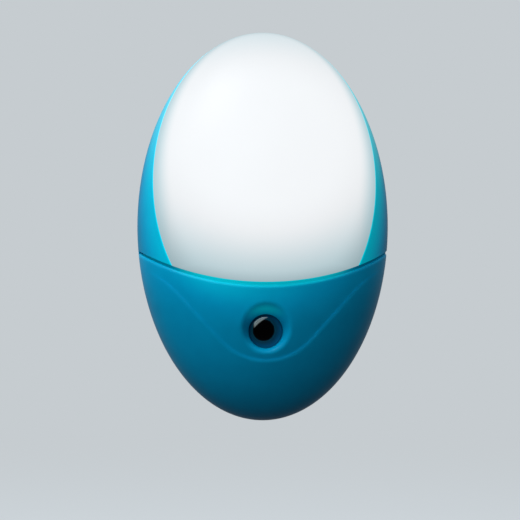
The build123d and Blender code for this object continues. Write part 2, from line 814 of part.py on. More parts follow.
# ---------------------------------------------------------------- sliding contacts
def brush(ring_radius, brush_reach, side):
    """A spring strip from a foot on the board to a pad on a slip ring. Points are height and depth."""
    y_pad = y_ring_front - brush_gap - brush_thickness
    y_arm = y_retainer_front - brush_lift
    heel = ring_radius + brush_reach
    half_pad = brush_pad / 2
    points = [(heel + brush_foot, y_board), (heel, y_board), (heel - brush_bend, y_arm)]
    points += [(ring_radius + brush_pad, y_arm), (ring_radius + half_pad, y_pad)]
    points += [(ring_radius - half_pad, y_pad)]
    with BuildPart() as strip:
        with BuildSketch(Plane.YZ):
            with BuildLine():
                below = [(y, side * z) for z, y in points]
                above = [(y + brush_thickness, side * z) for z, y in points]
                Polyline(*below, *reversed(above), close=True)
            make_face()
        extrude(amount=brush_width / 2, both=True)
    return strip.part


brush_outer = brush(ring_outer_radius - ring_width / 2, brush_reach_outer, 1)
brush_inner = brush(ring_inner_radius - ring_width / 2, brush_reach_inner, -1)

# ---------------------------------------------------------------- fasteners
small_heads = (small_head_radius, small_head_height)
case_screw = screw(case_screw_radius, case_screw_length, case_head_radius, case_head_height, 1)
small_screw = screw(small_screw_radius, small_screw_length, *small_heads, -1)
case_screws = screws_at(case_places, y_case_seat, case_screw)
retainer_screws = screws_at(ears, y_retainer_front, small_screw)
board_screws = screws_at(board_posts, y_board_front, small_screw)

# ---------------------------------------------------------------- parts on the board
leds = both_sides([(led_aside, z_top - drop) for drop in led_drops])
led_leads = [(x + side * lead_pitch / 2, z) for x, z in leds for side in (-1, 1)]


def led_at(place):
    """A straw-hat LED with its two leads."""
    x, z = place
    with BuildPart() as led:
        add(round_bars([place], led_rim_radius, y_led, y_led - led_rim_height))
        add(round_bars([place], led_radius, y_led, y_led - led_height))
        fillet(led.edges().sort_by(Axis.Y)[0], led_radius * led_dome)
        legs = [(x - lead_pitch / 2, z), (x + lead_pitch / 2, z)]
        add(round_bars(legs, lead_radius, lead_end, y_led - part_edge))
    return led.part


def can_leads():
    """Places of the smoothing capacitor's leads."""
    return [(can_place[0] + side * can_pitch / 2, can_place[1]) for side in (-1, 1)]


def film_leads():
    """Places of the film capacitor's leads."""
    return [(film_place[0], film_place[1] + side * film_pitch / 2) for side in (-1, 1)]


def bridge_leads():
    """Places of the bridge rectifier's four leads."""
    x, z = bridge_place
    return [(x + sx * lead_pitch, z + sz * lead_pitch) for sx in (-1, 1) for sz in (-1, 1)]


def transistor_leads():
    """Places of the transistor's three leads."""
    return [(transistor_place[0] + step * lead_pitch / 2, transistor_place[1]) for step in (-1, 0, 1)]


def lying_leads(place, pitch, upright):
    """Places of the two leads of a part that lies along X, or along Z where upright."""
    x, z = place
    half = pitch / 2
    return [(x, z - half), (x, z + half)] if upright else [(x - half, z), (x + half, z)]


def lying_part(place, size, pitch, upright=False):
    """A round part lying on the board, with each lead bent down through it."""
    radius, length = size
    y_axis = y_board_front - part_lift - radius
    along = Plane((place[0], y_axis, place[1]), x_dir=(0, 0, 1) if upright else (1, 0, 0), z_dir=(0, -1, 0))
    with BuildPart() as body:
        with BuildSketch(Plane(along.origin - along.x_dir * length / 2, z_dir=along.x_dir)):
            Circle(radius)
        extrude(amount=length)
        fillet(body.edges().filter_by(GeomType.CIRCLE), part_edge)
        for side in (-1, 1):
            start = along.origin + along.x_dir * side * (length / 2 - part_edge)
            corner = along.origin + along.x_dir * side * pitch / 2
            end = Vector(corner.X, lead_end, corner.Z)
            with BuildLine() as path:
                FilletPolyline(start, corner, end, radius=lead_bend)
            with BuildSketch(Plane(start, z_dir=along.x_dir * side)):
                Circle(lead_radius)
            sweep(path=path.line)
    return body.part


led_lower_left, led_lower_right, led_upper_left, led_upper_right = [led_at(place) for place in leds]
fusible_resistor = lying_part(fuse_place, fuse_size, fuse_pitch)
bleeder_resistor = lying_part(bleeder_place, bleeder_size, bleeder_pitch)
zener_diode = lying_part(zener_place, zener_size, zener_pitch, upright=True)

with BuildPart() as film_capacitor:
    with BuildSketch(facing_room(y_board_front)):
        with Locations(film_place):
            RectangleRounded(film_size[0], film_size[1], 2 * part_edge)
    extrude(amount=film_size[2])
    fillet(film_capacitor.faces().sort_by(Axis.Y)[0].edges(), part_edge)
    add(round_bars(film_leads(), lead_radius, lead_end, y_board_front - part_edge))

with BuildPart() as smoothing_capacitor:
    y_can = y_board_front - can_height
    add(round_bars([can_place], can_radius, y_board_front, y_can))
    fillet(smoothing_capacitor.edges().filter_by(GeomType.CIRCLE).sort_by(Axis.Y)[0], part_edge)
    y_crimp = y_board_front - can_groove_rise
    crimp_mouth = can_radius + can_groove
    crimp = [(can_radius - can_groove, y_crimp), (crimp_mouth, y_crimp + 2 * can_groove_half)]
    add(turned(crimp + [(crimp_mouth, y_crimp - 2 * can_groove_half)], can_place), mode=Mode.SUBTRACT)
    add(round_bars(can_leads(), lead_radius, lead_end, y_board_front - part_edge))

with BuildPart() as bridge_rectifier:
    with BuildSketch(facing_room(y_board_front)):
        with Locations(bridge_place):
            Rectangle(bridge_size[0], bridge_size[1])
    extrude(amount=bridge_size[2])
    chamfer(bridge_rectifier.faces().sort_by(Axis.Y)[0].edges(), part_edge)
    add(round_bars(bridge_leads(), lead_radius, lead_end, y_board_front - part_edge))

with BuildPart() as switching_transistor:
    with BuildSketch(facing_room(y_board_front - transistor_lift)):
        with Locations(transistor_place):
            Circle(transistor_radius)
        with Locations((transistor_place[0], transistor_place[1] - transistor_radius)):
            Rectangle(2 * transistor_radius, 2 * (transistor_radius - transistor_flat), mode=Mode.SUBTRACT)
    extrude(amount=transistor_height)
    y_legs = y_board_front - transistor_lift - part_edge
    add(round_bars(transistor_leads(), lead_radius, lead_end, y_legs))

# ---------------------------------------------------------------- circuit board
lead_places = led_leads + sensor_leads + can_leads() + film_leads() + bridge_leads() + transistor_leads()
lead_places += lying_leads(fuse_place, fuse_pitch, False)
lead_places += lying_leads(bleeder_place, bleeder_pitch, False)
lead_places += lying_leads(zener_place, zener_pitch, True)
pegs = [(0, z_top - peg_drops[0])] + both_sides([(peg_aside, z_top - peg_drops[1])])

with BuildPart() as circuit_board:
    with BuildSketch(facing_room(y_board)):
        with Locations((0, z_centre)):
            Ellipse(body_half_width - board_inset, body_half_height - board_inset)
        with Locations((0, (z_board_bottom + z_board_top) / 2)):
            Rectangle(2 * body_half_width, z_board_top - z_board_bottom, mode=Mode.INTERSECT)
        with Locations(*board_posts):
            Circle(small_screw_radius + screw_clearance, mode=Mode.SUBTRACT)
        with Locations(*pegs):
            Circle(peg_tip_radius + screw_clearance, mode=Mode.SUBTRACT)
        with Locations(*lead_places):
            Circle(lead_radius + lead_hole_clearance, mode=Mode.SUBTRACT)
    extrude(amount=board_thickness)

# ---------------------------------------------------------------- reflector tray
with BuildPart() as tray_plate:
    add(body_form(tray_inset))
    add(slab(y_tray, y_tray_front), mode=Mode.INTERSECT)
    add(above_groove(baffle_rise), mode=Mode.INTERSECT)

with BuildPart() as tray_rim:
    add(skin(tray_inset, tray_inset + tray_thickness))
    add(slab(y_tray - tray_thickness / 2, y_tray - tray_rim_height), mode=Mode.INTERSECT)
    add(above_groove(baffle_rise + baffle_thickness / 2), mode=Mode.INTERSECT)

with BuildPart() as baffle:
    add(body_form(tray_inset))
    add(slab(y_tray - tray_thickness / 2, y_front), mode=Mode.INTERSECT)
    add(above_groove(baffle_rise), mode=Mode.INTERSECT)
    add(above_groove(baffle_rise + baffle_thickness), mode=Mode.SUBTRACT)

with BuildPart() as reflector_tray:
    add(tray_plate.part)
    add(baffle.part)
    add(tray_rim.part)
    add(round_bars(leds, led_rim_radius, y_board, y_front), mode=Mode.SUBTRACT)
    post_hole = case_post_radius + tray_clearance
    add(round_bars([upper_screw], post_hole, y_board, y_front), mode=Mode.SUBTRACT)
    add(round_bars(pegs, peg_radius, y_board_front, y_tray_front))
    add(round_bars(pegs, peg_tip_radius, y_board + lead_tail, y_board_front))

# ---------------------------------------------------------------- labels and files
pieces = {
    "rear_shell": rear_shell.part,
    "front_cover": front_cover.part,
    "diffuser": diffuser.part,
    "reflector_tray": reflector_tray.part,
    "sensor_lens": sensor_lens.part,
    "sensor_holder": sensor_holder.part,
    "photocell": photocell.part,
    "plug_rotor": plug_rotor.part,
    "pin_left": pin_left,
    "pin_right": pin_right,
    "sleeve_left": sleeve_left,
    "sleeve_right": sleeve_right,
    "contact_ring_inner": contact_ring_inner,
    "contact_ring_outer": contact_ring_outer,
    "friction_washer": friction_washer.part,
    "swivel_retainer": swivel_retainer.part,
    "retainer_screws": retainer_screws,
    "brush_outer": brush_outer,
    "brush_inner": brush_inner,
    "case_screws": case_screws,
    "board_screws": board_screws,
    "circuit_board": circuit_board.part,
    "led_lower_left": led_lower_left,
    "led_lower_right": led_lower_right,
    "led_upper_left": led_upper_left,
    "led_upper_right": led_upper_right,
    "film_capacitor": film_capacitor.part,
    "smoothing_capacitor": smoothing_capacitor.part,
    "bridge_rectifier": bridge_rectifier.part,
    "switching_transistor": switching_transistor.part,
    "fusible_resistor": fusible_resistor,
    "bleeder_resistor": bleeder_resistor,
    "zener_diode": zener_diode,
}

os.makedirs("parts", exist_ok=True)
for name, piece in pieces.items():
    piece.label = name
    export_step(piece, f"parts/{name}.step")
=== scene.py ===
# %% [markdown]
# # A plug-in night light, dressed for the camera
#
# The light is an egg of satin blue plastic with a glowing opal dome. Its shape comes ready made from
# the CAD model. This lesson gives it its finishes, and models the solder that the CAD leaves out.
# Lengths are metres, and a value times mm is a size in millimetres.

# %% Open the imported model
import math

import bpy
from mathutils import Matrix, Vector


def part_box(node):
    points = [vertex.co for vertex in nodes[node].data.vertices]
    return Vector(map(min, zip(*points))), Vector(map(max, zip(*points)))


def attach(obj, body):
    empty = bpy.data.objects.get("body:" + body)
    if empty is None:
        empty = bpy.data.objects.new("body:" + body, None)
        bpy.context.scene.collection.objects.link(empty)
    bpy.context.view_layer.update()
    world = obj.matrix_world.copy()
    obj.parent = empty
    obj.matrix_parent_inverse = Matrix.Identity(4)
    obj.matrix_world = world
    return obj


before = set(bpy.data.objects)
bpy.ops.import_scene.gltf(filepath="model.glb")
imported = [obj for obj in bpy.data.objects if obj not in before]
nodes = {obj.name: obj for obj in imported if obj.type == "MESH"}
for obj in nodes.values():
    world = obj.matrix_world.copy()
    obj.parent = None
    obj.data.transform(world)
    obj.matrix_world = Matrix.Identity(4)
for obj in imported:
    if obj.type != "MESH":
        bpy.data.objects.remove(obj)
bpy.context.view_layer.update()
mm = 0.001

# %% [markdown]
# ## Measures that the finishes follow
#
# Every finish sits on the CAD shape, so its places are read from the nodes' own boxes: the crown and
# the chin of the housing, the board and its parts. What no box gives is named here: the depth of the
# widest section and of the cover's seam behind it, the slant of the parting between dome and wings,
# and how high the cover's edge stands in its middle and at its sides.

# %% Read the housing's measures
shell_low, shell_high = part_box("rear_shell")
board_low, board_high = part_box("circuit_board")
lens_low, lens_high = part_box("sensor_lens")
crown = shell_high[2]
chin = shell_low[2]
middle_z = (crown + chin) / 2
half_width = shell_high[0]
back_y = shell_high[1]
board_front = board_low[1]
board_back = board_high[1]
lens_z = (lens_low[2] + lens_high[2]) / 2
lens_front = (0.0, lens_low[1], lens_z)

widest_y = -29.0 * mm
parting_tilt = math.radians(14.5)
seam_y = widest_y + 2.0 * mm
cover_rise = 35.5 * mm
cover_side_rise = 43.5 * mm
housing_centre = Vector((0.0, widest_y, middle_z))
print("housing from", round(chin, 4), "to", round(crown, 4), "half width", round(half_width, 4))

# %% [markdown]
# ## Small helpers
#
# Colours are written as the hex values that a paint chart gives, and Blender wants them linear, so
# one function turns them. Another adds a node, sets it and wires it, which keeps each material below
# as short as its recipe. The rest start a material, fill a colour ramp and hand a finish to CAD nodes.


# %% Colour and node helpers
def linear(hex_colour):
    """An sRGB hex colour as the linear RGBA that shaders take."""
    channels = [int(hex_colour[i : i + 2], 16) / 255 for i in (1, 3, 5)]
    curved = [c / 12.92 if c <= 0.04045 else ((c + 0.055) / 1.055) ** 2.4 for c in channels]
    return (*curved, 1.0)


def shown(sockets):
    """The sockets that a node offers with its present settings."""
    return [socket for socket in sockets if socket.enabled]


def node(tree, kind, settings=None, **inputs):
    """Adds a node. An input, named or numbered, takes a value, a socket or a whole node."""
    made = tree.nodes.new("ShaderNode" + kind)
    for name, value in (settings or {}).items():
        setattr(made, name, value)
    for name, value in inputs.items():
        sockets = shown(made.inputs)
        title = name.replace("_", " ")
        numbered = name[0] == "_"
        socket = sockets[int(name[1:])] if numbered else next(s for s in sockets if s.name == title)
        if isinstance(value, bpy.types.Node):
            value = shown(value.outputs)[0]
        if isinstance(value, bpy.types.NodeSocket):
            tree.links.new(value, socket)
        else:
            socket.default_value = value
    return made


def new_finish(name):
    """An empty material: its tree, its output node and the place on the object, in metres."""
    finish = bpy.data.materials.new(name)
    finish.use_nodes = True
    tree = finish.node_tree
    tree.nodes.clear()
    output = tree.nodes.new("ShaderNodeOutputMaterial")
    place = tree.nodes.new("ShaderNodeTexCoord").outputs["Object"]
    return finish, tree, output, place


def set_stops(ramp, stops):
    """Fills a colour ramp with stops, each a position and a hex colour."""
    elements = ramp.color_ramp.elements
    while len(elements) < len(stops):
        elements.new(1.0)
    for element, (position, hex_colour) in zip(elements, stops):
        element.position = position
        element.color = linear(hex_colour)


def dress(names, finish):
    """Gives CAD nodes their finish."""
    for name in names:
        mesh = nodes[name].data
        mesh.materials.clear()
        mesh.materials.append(finish)
    print(finish.name, "on", ", ".join(names))


# Settings that many nodes share
SOFT = {"interpolation_type": "SMOOTHSTEP"}
COLOUR = {"data_type": "RGBA"}
SHADE = {"data_type": "RGBA", "blend_type": "MULTIPLY"}
ADD = {"operation": "ADD"}
SUBTRACT = {"operation": "SUBTRACT"}
MULTIPLY = {"operation": "MULTIPLY"}
MULTIPLY_ADD = {"operation": "MULTIPLY_ADD"}
ABOVE = {"operation": "GREATER_THAN"}
BELOW = {"operation": "LESS_THAN"}
SIZE_ONLY = {"operation": "ABSOLUTE"}
LENGTH = {"operation": "LENGTH"}
DOT = {"operation": "DOT_PRODUCT"}
LARGER = {"operation": "MAXIMUM"}

# %% [markdown]
# ## Camera
#
# The light is seen almost straight on, a little from the left and a little from above, from about
# 60 cm. A long lens keeps the egg's outline true. The camera could be aimed at the housing's centre
# and shifted, but aiming it beside the centre keeps the lens unshifted, which other views like.

# %% Place the camera
view_distance = 0.600
view_azimuth = math.radians(-2.6)
view_elevation = math.radians(2.0)
metres_per_pixel = 0.2557 * mm
picture_pixels = 520
picture_centre = picture_pixels / 2
housing_pixel = (262.7, 227.0)

aim_right = (picture_centre - housing_pixel[0]) * metres_per_pixel
aim_up = (housing_pixel[1] - picture_centre) * metres_per_pixel
aim = housing_centre + Vector((aim_right, 0.0, aim_up))
towards = Vector((math.sin(view_azimuth), -math.cos(view_azimuth), math.tan(view_elevation)))
camera_data = bpy.data.cameras.new("camera")
camera = bpy.data.objects.new("camera", camera_data)
bpy.context.scene.collection.objects.link(camera)
camera.location = aim + towards.normalized() * view_distance
camera.rotation_euler = (aim - camera.location).to_track_quat("-Z", "Y").to_euler()
camera_data.sensor_width = 36.0
camera_data.lens = camera_data.sensor_width * view_distance / (picture_pixels * metres_per_pixel)
camera_data.clip_start = 0.01
bpy.context.scene.camera = camera
print("lens", round(camera_data.lens, 1), "mm")

# %% [markdown]
# ## Where the lamps' light creeps into the plastic
#
# The housing is thin ABS, and it is a little translucent. Right beside the dome the lamps shine into
# it, so the wings and the cover's upper edge glow in a clear cyan that fades over a few millimetres.
# Edges that look up at the dome, such as the step of the collar, catch some of its light too. Lamps
# inside the mesh could do all that, but they would need minutes of light paths. The fade is known, so
# the material works it out from the place: how far a point lies behind the parting plane, how far it
# lies below the cover's upper edge, and how much it looks up.


# %% Distances and direction
def behind_parting(tree, place):
    """Distance behind the slanted plane between the dome and the wings, in metres."""
    facing = (0.0, math.cos(parting_tilt), -math.sin(parting_tilt))
    offset = widest_y * math.cos(parting_tilt) - crown * math.sin(parting_tilt)
    along = node(tree, "VectorMath", DOT, _0=place, _1=facing)
    return node(tree, "Math", SUBTRACT, _0=along, _1=offset)


def below_cover_edge(tree, place):
    """Distance below the cover's dipping upper edge, in metres."""
    parts = node(tree, "SeparateXYZ", Vector=place)
    squared = node(tree, "Math", MULTIPLY, _0=parts.outputs["X"], _1=parts.outputs["X"])
    dip = (cover_side_rise - cover_rise) / half_width**2
    edge = node(tree, "Math", MULTIPLY_ADD, _0=squared, _1=dip, _2=chin + cover_rise)
    return node(tree, "Math", SUBTRACT, _0=edge, _1=parts.outputs["Z"])


def looking_up(tree, normal):
    """How much a face looks up towards the dome, from 0 to 1."""
    to_object = {"vector_type": "NORMAL", "convert_from": "WORLD", "convert_to": "OBJECT"}
    own = node(tree, "VectorTransform", to_object, Vector=normal)
    up = node(tree, "SeparateXYZ", Vector=own).outputs["Z"]
    return node(tree, "MapRange", SOFT, Value=up, From_Min=0.05, From_Max=0.60)


# %% [markdown]
# ### The wings' glow
#
# A wing glows most in a hair line at the dome, and from there its glow fades backwards over a
# centimetre. It grows towards the crown, where the wings taper. The groove between wing and cover, in
# front of the cover's seam, keeps a trace of it. A glow is two strengths: one for every face, and one
# more for faces that look up, which is nothing on the wings.


# %% Wings
def wing_glow(tree, place):
    """Strong right at the parting, fading backwards, stronger towards the crown, faint in the groove."""
    parts = node(tree, "SeparateXYZ", Vector=place)
    behind = behind_parting(tree, place)
    below = below_cover_edge(tree, place)
    wide = node(
        tree, "MapRange", SOFT, Value=behind, From_Min=-1.0 * mm, From_Max=11.0 * mm, To_Min=0.48, To_Max=0.0
    )
    leak = node(tree, "MapRange", SOFT, Value=behind, From_Min=0.0, From_Max=0.5 * mm, To_Min=0.6, To_Max=0.0)
    up = parts.outputs["Z"]
    climb = node(
        tree, "MapRange", SOFT, Value=up, From_Min=middle_z, From_Max=crown, To_Min=0.72, To_Max=1.35
    )
    groove = node(tree, "MapRange", SOFT, Value=below, From_Min=-0.8 * mm, From_Max=-0.3 * mm, To_Max=0.03)
    ahead = node(tree, "Math", BELOW, _0=parts.outputs["Y"], _1=seam_y)
    both = node(tree, "Math", ADD, _0=wide, _1=leak)
    faint = node(tree, "Math", MULTIPLY, _0=groove, _1=ahead)
    return node(tree, "Math", MULTIPLY_ADD, _0=both, _1=climb, _2=faint), 0.0


# %% [markdown]
# ### The cover's glow
#
# The cover glows below its upper edge, and more on the left as painted light standing in for the
# light from the upper left. It does so under the dome rather than under the wings. The groove, edges
# that look up and the upper half of the sensor's dish catch light of their own.

# %% Cover
any_upward_edge = 0.05


def dish_glow(tree, place):
    """In the upper half of the dish round the sensor's window, where lamp light comes through."""
    from_lens = node(tree, "VectorMath", SUBTRACT, _0=place, _1=lens_front)
    off_lens = node(tree, "VectorMath", LENGTH, _0=from_lens)
    near_lens = node(
        tree, "MapRange", SOFT, Value=off_lens, From_Min=5.5 * mm, From_Max=9.5 * mm, To_Min=0.26, To_Max=0.0
    )
    above_lens = node(tree, "SeparateXYZ", Vector=from_lens).outputs["Z"]
    over = node(tree, "MapRange", SOFT, Value=above_lens, From_Min=1.0 * mm, From_Max=7.0 * mm)
    return node(tree, "Math", MULTIPLY, _0=near_lens, _1=over)


def cover_glow(tree, place):
    """Below the upper edge, more on the left and beside the dome, in the groove and in the dish."""
    below = below_cover_edge(tree, place)
    behind = behind_parting(tree, place)
    wide = node(
        tree, "MapRange", SOFT, Value=below, From_Min=-1.2 * mm, From_Max=13.0 * mm, To_Min=0.25, To_Max=0.0
    )
    beside = node(
        tree, "MapRange", SOFT, Value=behind, From_Min=-4.0 * mm, From_Max=2.5 * mm, To_Min=1.0, To_Max=0.03
    )
    groove = node(
        tree, "MapRange", SOFT, Value=below, From_Min=-0.3 * mm, From_Max=0.1 * mm, To_Min=0.09, To_Max=0.0
    )
    lip = node(
        tree, "MapRange", SOFT, Value=below, From_Min=-0.5 * mm, From_Max=3.0 * mm, To_Min=0.30, To_Max=0.0
    )
    across = node(tree, "SeparateXYZ", Vector=place).outputs["X"]
    # Stronger on the left: painted light standing in for the light from the upper left.
    left = node(
        tree,
        "MapRange",
        SOFT,
        Value=across,
        From_Min=-24.0 * mm,
        From_Max=20.0 * mm,
        To_Min=1.40,
        To_Max=0.55,
    )
    softer = node(tree, "Math", MULTIPLY_ADD, _0=beside, _1=0.6, _2=0.4)
    sided = node(tree, "Math", MULTIPLY, _0=left, _1=softer)
    groove_and_dish = node(tree, "Math", MULTIPLY_ADD, _0=groove, _1=beside, _2=dish_glow(tree, place))
    band = node(tree, "Math", MULTIPLY_ADD, _0=wide, _1=sided, _2=groove_and_dish)
    upward = node(tree, "Math", MULTIPLY_ADD, _0=lip, _1=beside, _2=any_upward_edge)
    return band, upward


# %% [markdown]
# ## Teal ABS
#
# The shell, the cover and the plug are ABS, injection moulded in polished steel and coloured right
# through. The finish is a soft satin, nowhere mirror sharp. The moulding leaves a ripple of a few
# millimetres that only shows where a reflection bends, and a fine orange peel. Crisp CAD edges are
# rounded by the Bevel node, in the shading alone, as the mould's own edges round the real plastic.
# Lamp light that has crept far through the plastic is bluer than light that has just entered it,
# and near the crown, where the wings taper to nothing, the glow is drawn almost white as a painted sheen.
# The back, which faces the wall, comes from a spark-eroded face of the mould and is matt and grainy.
# Its real grain is too fine to show at this distance, so it is drawn coarser, about a pixel wide.

# %% Teal ABS
ripple_size = 4.0 * mm
peel_size = 0.5 * mm
spark_size = 0.25 * mm


def lit_through(tree, place, rounded, glow):
    """The shader inputs for lamp light in the plastic, bluer where weak, paler by painted sheen near the
    crown.
    """
    everywhere, upward = glow(tree, place)
    up = looking_up(tree, rounded)
    strength = node(tree, "Math", MULTIPLY_ADD, _0=up, _1=upward, _2=everywhere)
    fresh = node(tree, "MapRange", Value=strength, From_Min=0.10, From_Max=0.34)
    crept = node(tree, "Mix", COLOUR, Factor=fresh, A=linear("#00A0D2"), B=linear("#00D6DE"))
    height = node(tree, "SeparateXYZ", Vector=place).outputs["Z"]
    # Paler towards the crown: a painted sheen, drawn into the glow's colour by height.
    crown_sheen = node(
        tree, "MapRange", SOFT, Value=height, From_Min=middle_z + 8.0 * mm, From_Max=crown - 8.0 * mm
    )
    light = node(tree, "Mix", COLOUR, Factor=crown_sheen, A=crept, B=linear("#8CEDEE"))
    return {"Emission_Color": light, "Emission_Strength": strength}


def teal_abs(name, edge_radius, matt_from, glow=None):
    """Satin teal ABS, matt behind the depth matt_from. glow builds the lamps' light in the plastic."""
    finish, tree, output, place = new_finish(name)
    depth = node(tree, "SeparateXYZ", Vector=place).outputs["Y"]
    matt = node(tree, "MapRange", SOFT, Value=depth, From_Min=matt_from - 1.0 * mm, From_Max=matt_from)
    ripple = node(tree, "TexNoise", Vector=place, Scale=1 / ripple_size, Detail=1.0)
    peel = node(tree, "TexNoise", Vector=place, Scale=1 / peel_size, Detail=2.0)
    spark = node(tree, "TexNoise", Vector=place, Scale=1 / spark_size, Detail=3.0)
    rounded = node(tree, "Bevel", {"samples": 8}, Radius=edge_radius)
    bent = rounded
    for pattern, strength, relief in ((ripple, 0.10, 0.2), (peel, 0.06, 0.03), (spark, matt, 0.05)):
        bent = node(tree, "Bump", Height=pattern, Strength=strength, Distance=relief * mm, Normal=bent)
    tint = node(tree, "Mix", COLOUR, Factor=ripple, A=linear("#0080A9"), B=linear("#0088B2"))
    gloss = node(tree, "MapRange", SOFT, Value=matt, To_Min=0.32, To_Max=0.55)
    lamp_light = lit_through(tree, place, rounded, glow) if glow else {}
    surface = node(
        tree,
        "BsdfPrincipled",
        Base_Color=tint,
        Roughness=gloss,
        IOR=1.53,
        Specular_IOR_Level=0.06,
        Normal=bent,
        **lamp_light,
    )
    tree.links.new(surface.outputs[0], output.inputs["Surface"])
    return finish


plug_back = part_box("plug_rotor")[1][1]
shell_abs = teal_abs("teal_abs_shell", edge_radius=0.3 * mm, matt_from=back_y - 1.0 * mm, glow=wing_glow)
cover_abs = teal_abs("teal_abs_cover", edge_radius=1.2 * mm, matt_from=back_y, glow=cover_glow)
plug_abs = teal_abs("teal_abs_plug", edge_radius=0.3 * mm, matt_from=plug_back - 1.0 * mm)
dress(["rear_shell"], shell_abs)
dress(["front_cover"], cover_abs)
dress(["plug_rotor"], plug_abs)

# %% [markdown]
# ## Opal polycarbonate
#
# The dome is polycarbonate filled with a white diffusing powder. The lamps stand behind its upper
# half, so it is brightest there and fades towards its rim and the chin, where only the scattered
# light arrives, tinted by the blue plastic round it. A stretched distance from the lamps' middle gives
# the pool of light, and the distances from the parting plane and the cover's edge give the rim.

# %% The lit dome
pool_z = 38.0 * mm
pool_half_width = 44.0 * mm
pool_half_height = 34.0 * mm
swirl_size = 6.0 * mm
rim_loss = 0.22

opal, tree, output, place = new_finish("opal_polycarbonate")
shrink = (1 / pool_half_width, 0.0, 1 / pool_half_height)
shift = (0.0, 0.0, -pool_z / pool_half_height)
pool = node(tree, "VectorMath", MULTIPLY_ADD, _0=place, _1=shrink, _2=shift)
away = node(tree, "VectorMath", LENGTH, _0=pool)
lit = node(tree, "MapRange", SOFT, Value=away, From_Min=0.40, From_Max=1.50, To_Min=0.92, To_Max=0.37)
behind = behind_parting(tree, place)
below = below_cover_edge(tree, place)
beside = node(tree, "MapRange", SOFT, Value=behind, From_Min=-5.0 * mm, From_Max=0.3 * mm)
above = node(tree, "MapRange", SOFT, Value=below, From_Min=-4.0 * mm, From_Max=0.5 * mm)
rim = node(tree, "Math", LARGER, _0=beside, _1=above)
shade = node(tree, "Math", MULTIPLY_ADD, _0=rim, _1=-rim_loss, _2=1.0)
dimmed = node(tree, "Math", MULTIPLY, _0=lit, _1=shade)
low_rim = node(tree, "MapRange", SOFT, Value=away, From_Min=0.60, From_Max=1.10)
edge = node(tree, "Math", LARGER, _0=rim, _1=low_rim)
cast = node(tree, "Mix", COLOUR, Factor=edge, A=linear("#F8FAFC"), B=linear("#CFEFF7"))
swirl = node(tree, "TexNoise", Vector=place, Scale=1 / swirl_size, Detail=2.0)
milk = node(tree, "Mix", COLOUR, Factor=swirl, A=linear("#3C4246"), B=linear("#42484C"))
satin = node(tree, "TexNoise", Vector=place, Scale=1 / peel_size, Detail=2.0)
dent = node(tree, "Bump", Height=satin, Strength=0.05, Distance=0.03 * mm)
surface = node(
    tree,
    "BsdfPrincipled",
    Base_Color=milk,
    Roughness=0.36,
    IOR=1.58,
    Specular_IOR_Level=0.08,
    Normal=dent,
    Emission_Color=cast,
    Emission_Strength=dimmed,
)
tree.links.new(surface.outputs[0], output.inputs["Surface"])
dress(["diffuser"], opal)

# %% [markdown]
# ## Smoked acrylic
#
# The sensor's window is a shallow crown of smoked acrylic that fills its bore. Its middle shows the
# black mouth of the photocell's tube, which sits a little to one side, as in most cheap mouldings, and
# the ring round it shows the blue boss through the glass. Real glass with all that behind it would
# render slowly and grainy, so the rings are drawn on a mirror-sharp face by their distance from the
# tube's middle. Such a face shows every facet of the mesh, so its normals are those of the true crown,
# a part of a sphere.

# %% Sensor window
flange_radius = lens_high[0]
crown_radius = 11.3 * mm
crown_rise = 0.85 * mm
tube_aside = -0.50 * mm
tube_above = 0.25 * mm

smoked, tree, output, place = new_finish("smoked_acrylic")
shrink = (1 / flange_radius, 0.0, 1 / flange_radius)
shift = (-tube_aside / flange_radius, 0.0, -(lens_z + tube_above) / flange_radius)
centred = node(tree, "VectorMath", MULTIPLY_ADD, _0=place, _1=shrink, _2=shift)
rings = node(tree, "ValToRGB", Fac=node(tree, "VectorMath", LENGTH, _0=centred))
# The blue rings are drawn far darker than the teal boss, partly by the smoke tint and partly as painted shade
# deep in the bore.
ring_colours = [
    (0.00, "#010101"),
    (2.45, "#020203"),
    (2.65, "#00141F"),
    (2.85, "#0A4A5E"),
    (3.05, "#053F54"),
    (3.70, "#04486A"),
    (4.40, "#05587F"),
]
set_stops(rings, [(radius * mm / flange_radius, colour) for radius, colour in ring_colours])
from_crown = node(tree, "VectorMath", SUBTRACT, _0=place, _1=(0.0, lens_low[1] + crown_radius, lens_z))
to_world = {"vector_type": "NORMAL", "convert_from": "OBJECT", "convert_to": "WORLD"}
sphere = node(tree, "VectorTransform", to_world, Vector=from_crown)
side = node(tree, "Bevel", {"samples": 4}, Radius=0.1 * mm)
depth = node(tree, "SeparateXYZ", Vector=place).outputs["Y"]
on_crown = node(tree, "Math", BELOW, _0=depth, _1=lens_low[1] + crown_rise)
polished = node(tree, "Mix", {"data_type": "VECTOR"}, Factor=on_crown, A=side, B=sphere)
surface = node(tree, "BsdfPrincipled", Base_Color=rings, Roughness=0.06, IOR=1.49, Normal=polished)
tree.links.new(surface.outputs[0], output.inputs["Surface"])
dress(["sensor_lens"], smoked)

# %% [markdown]
# ## Metals
#
# The pins are turned brass with nickel plate, the screws are zinc plated steel, and the sliding
# contacts are strip brass and phosphor bronze. Each is a full metal whose colour wanders a little with
# the plate's thickness. What tells them apart is the tool marks: rings round the turned pins, fine
# lines along the rolled strip and a mottled bloom on the zinc. Squeezing the noise along some axes
# turns specks into such lines. Real marks are finer than a pixel, so these are drawn coarser.

# %% Plated and rolled metal
bloom_size = 1.5 * mm
turned_marks = (0.05, 1.0, 0.05)
even_marks = (1.0, 1.0, 1.0)
rolled_marks = (1.0, 0.3, 0.05)


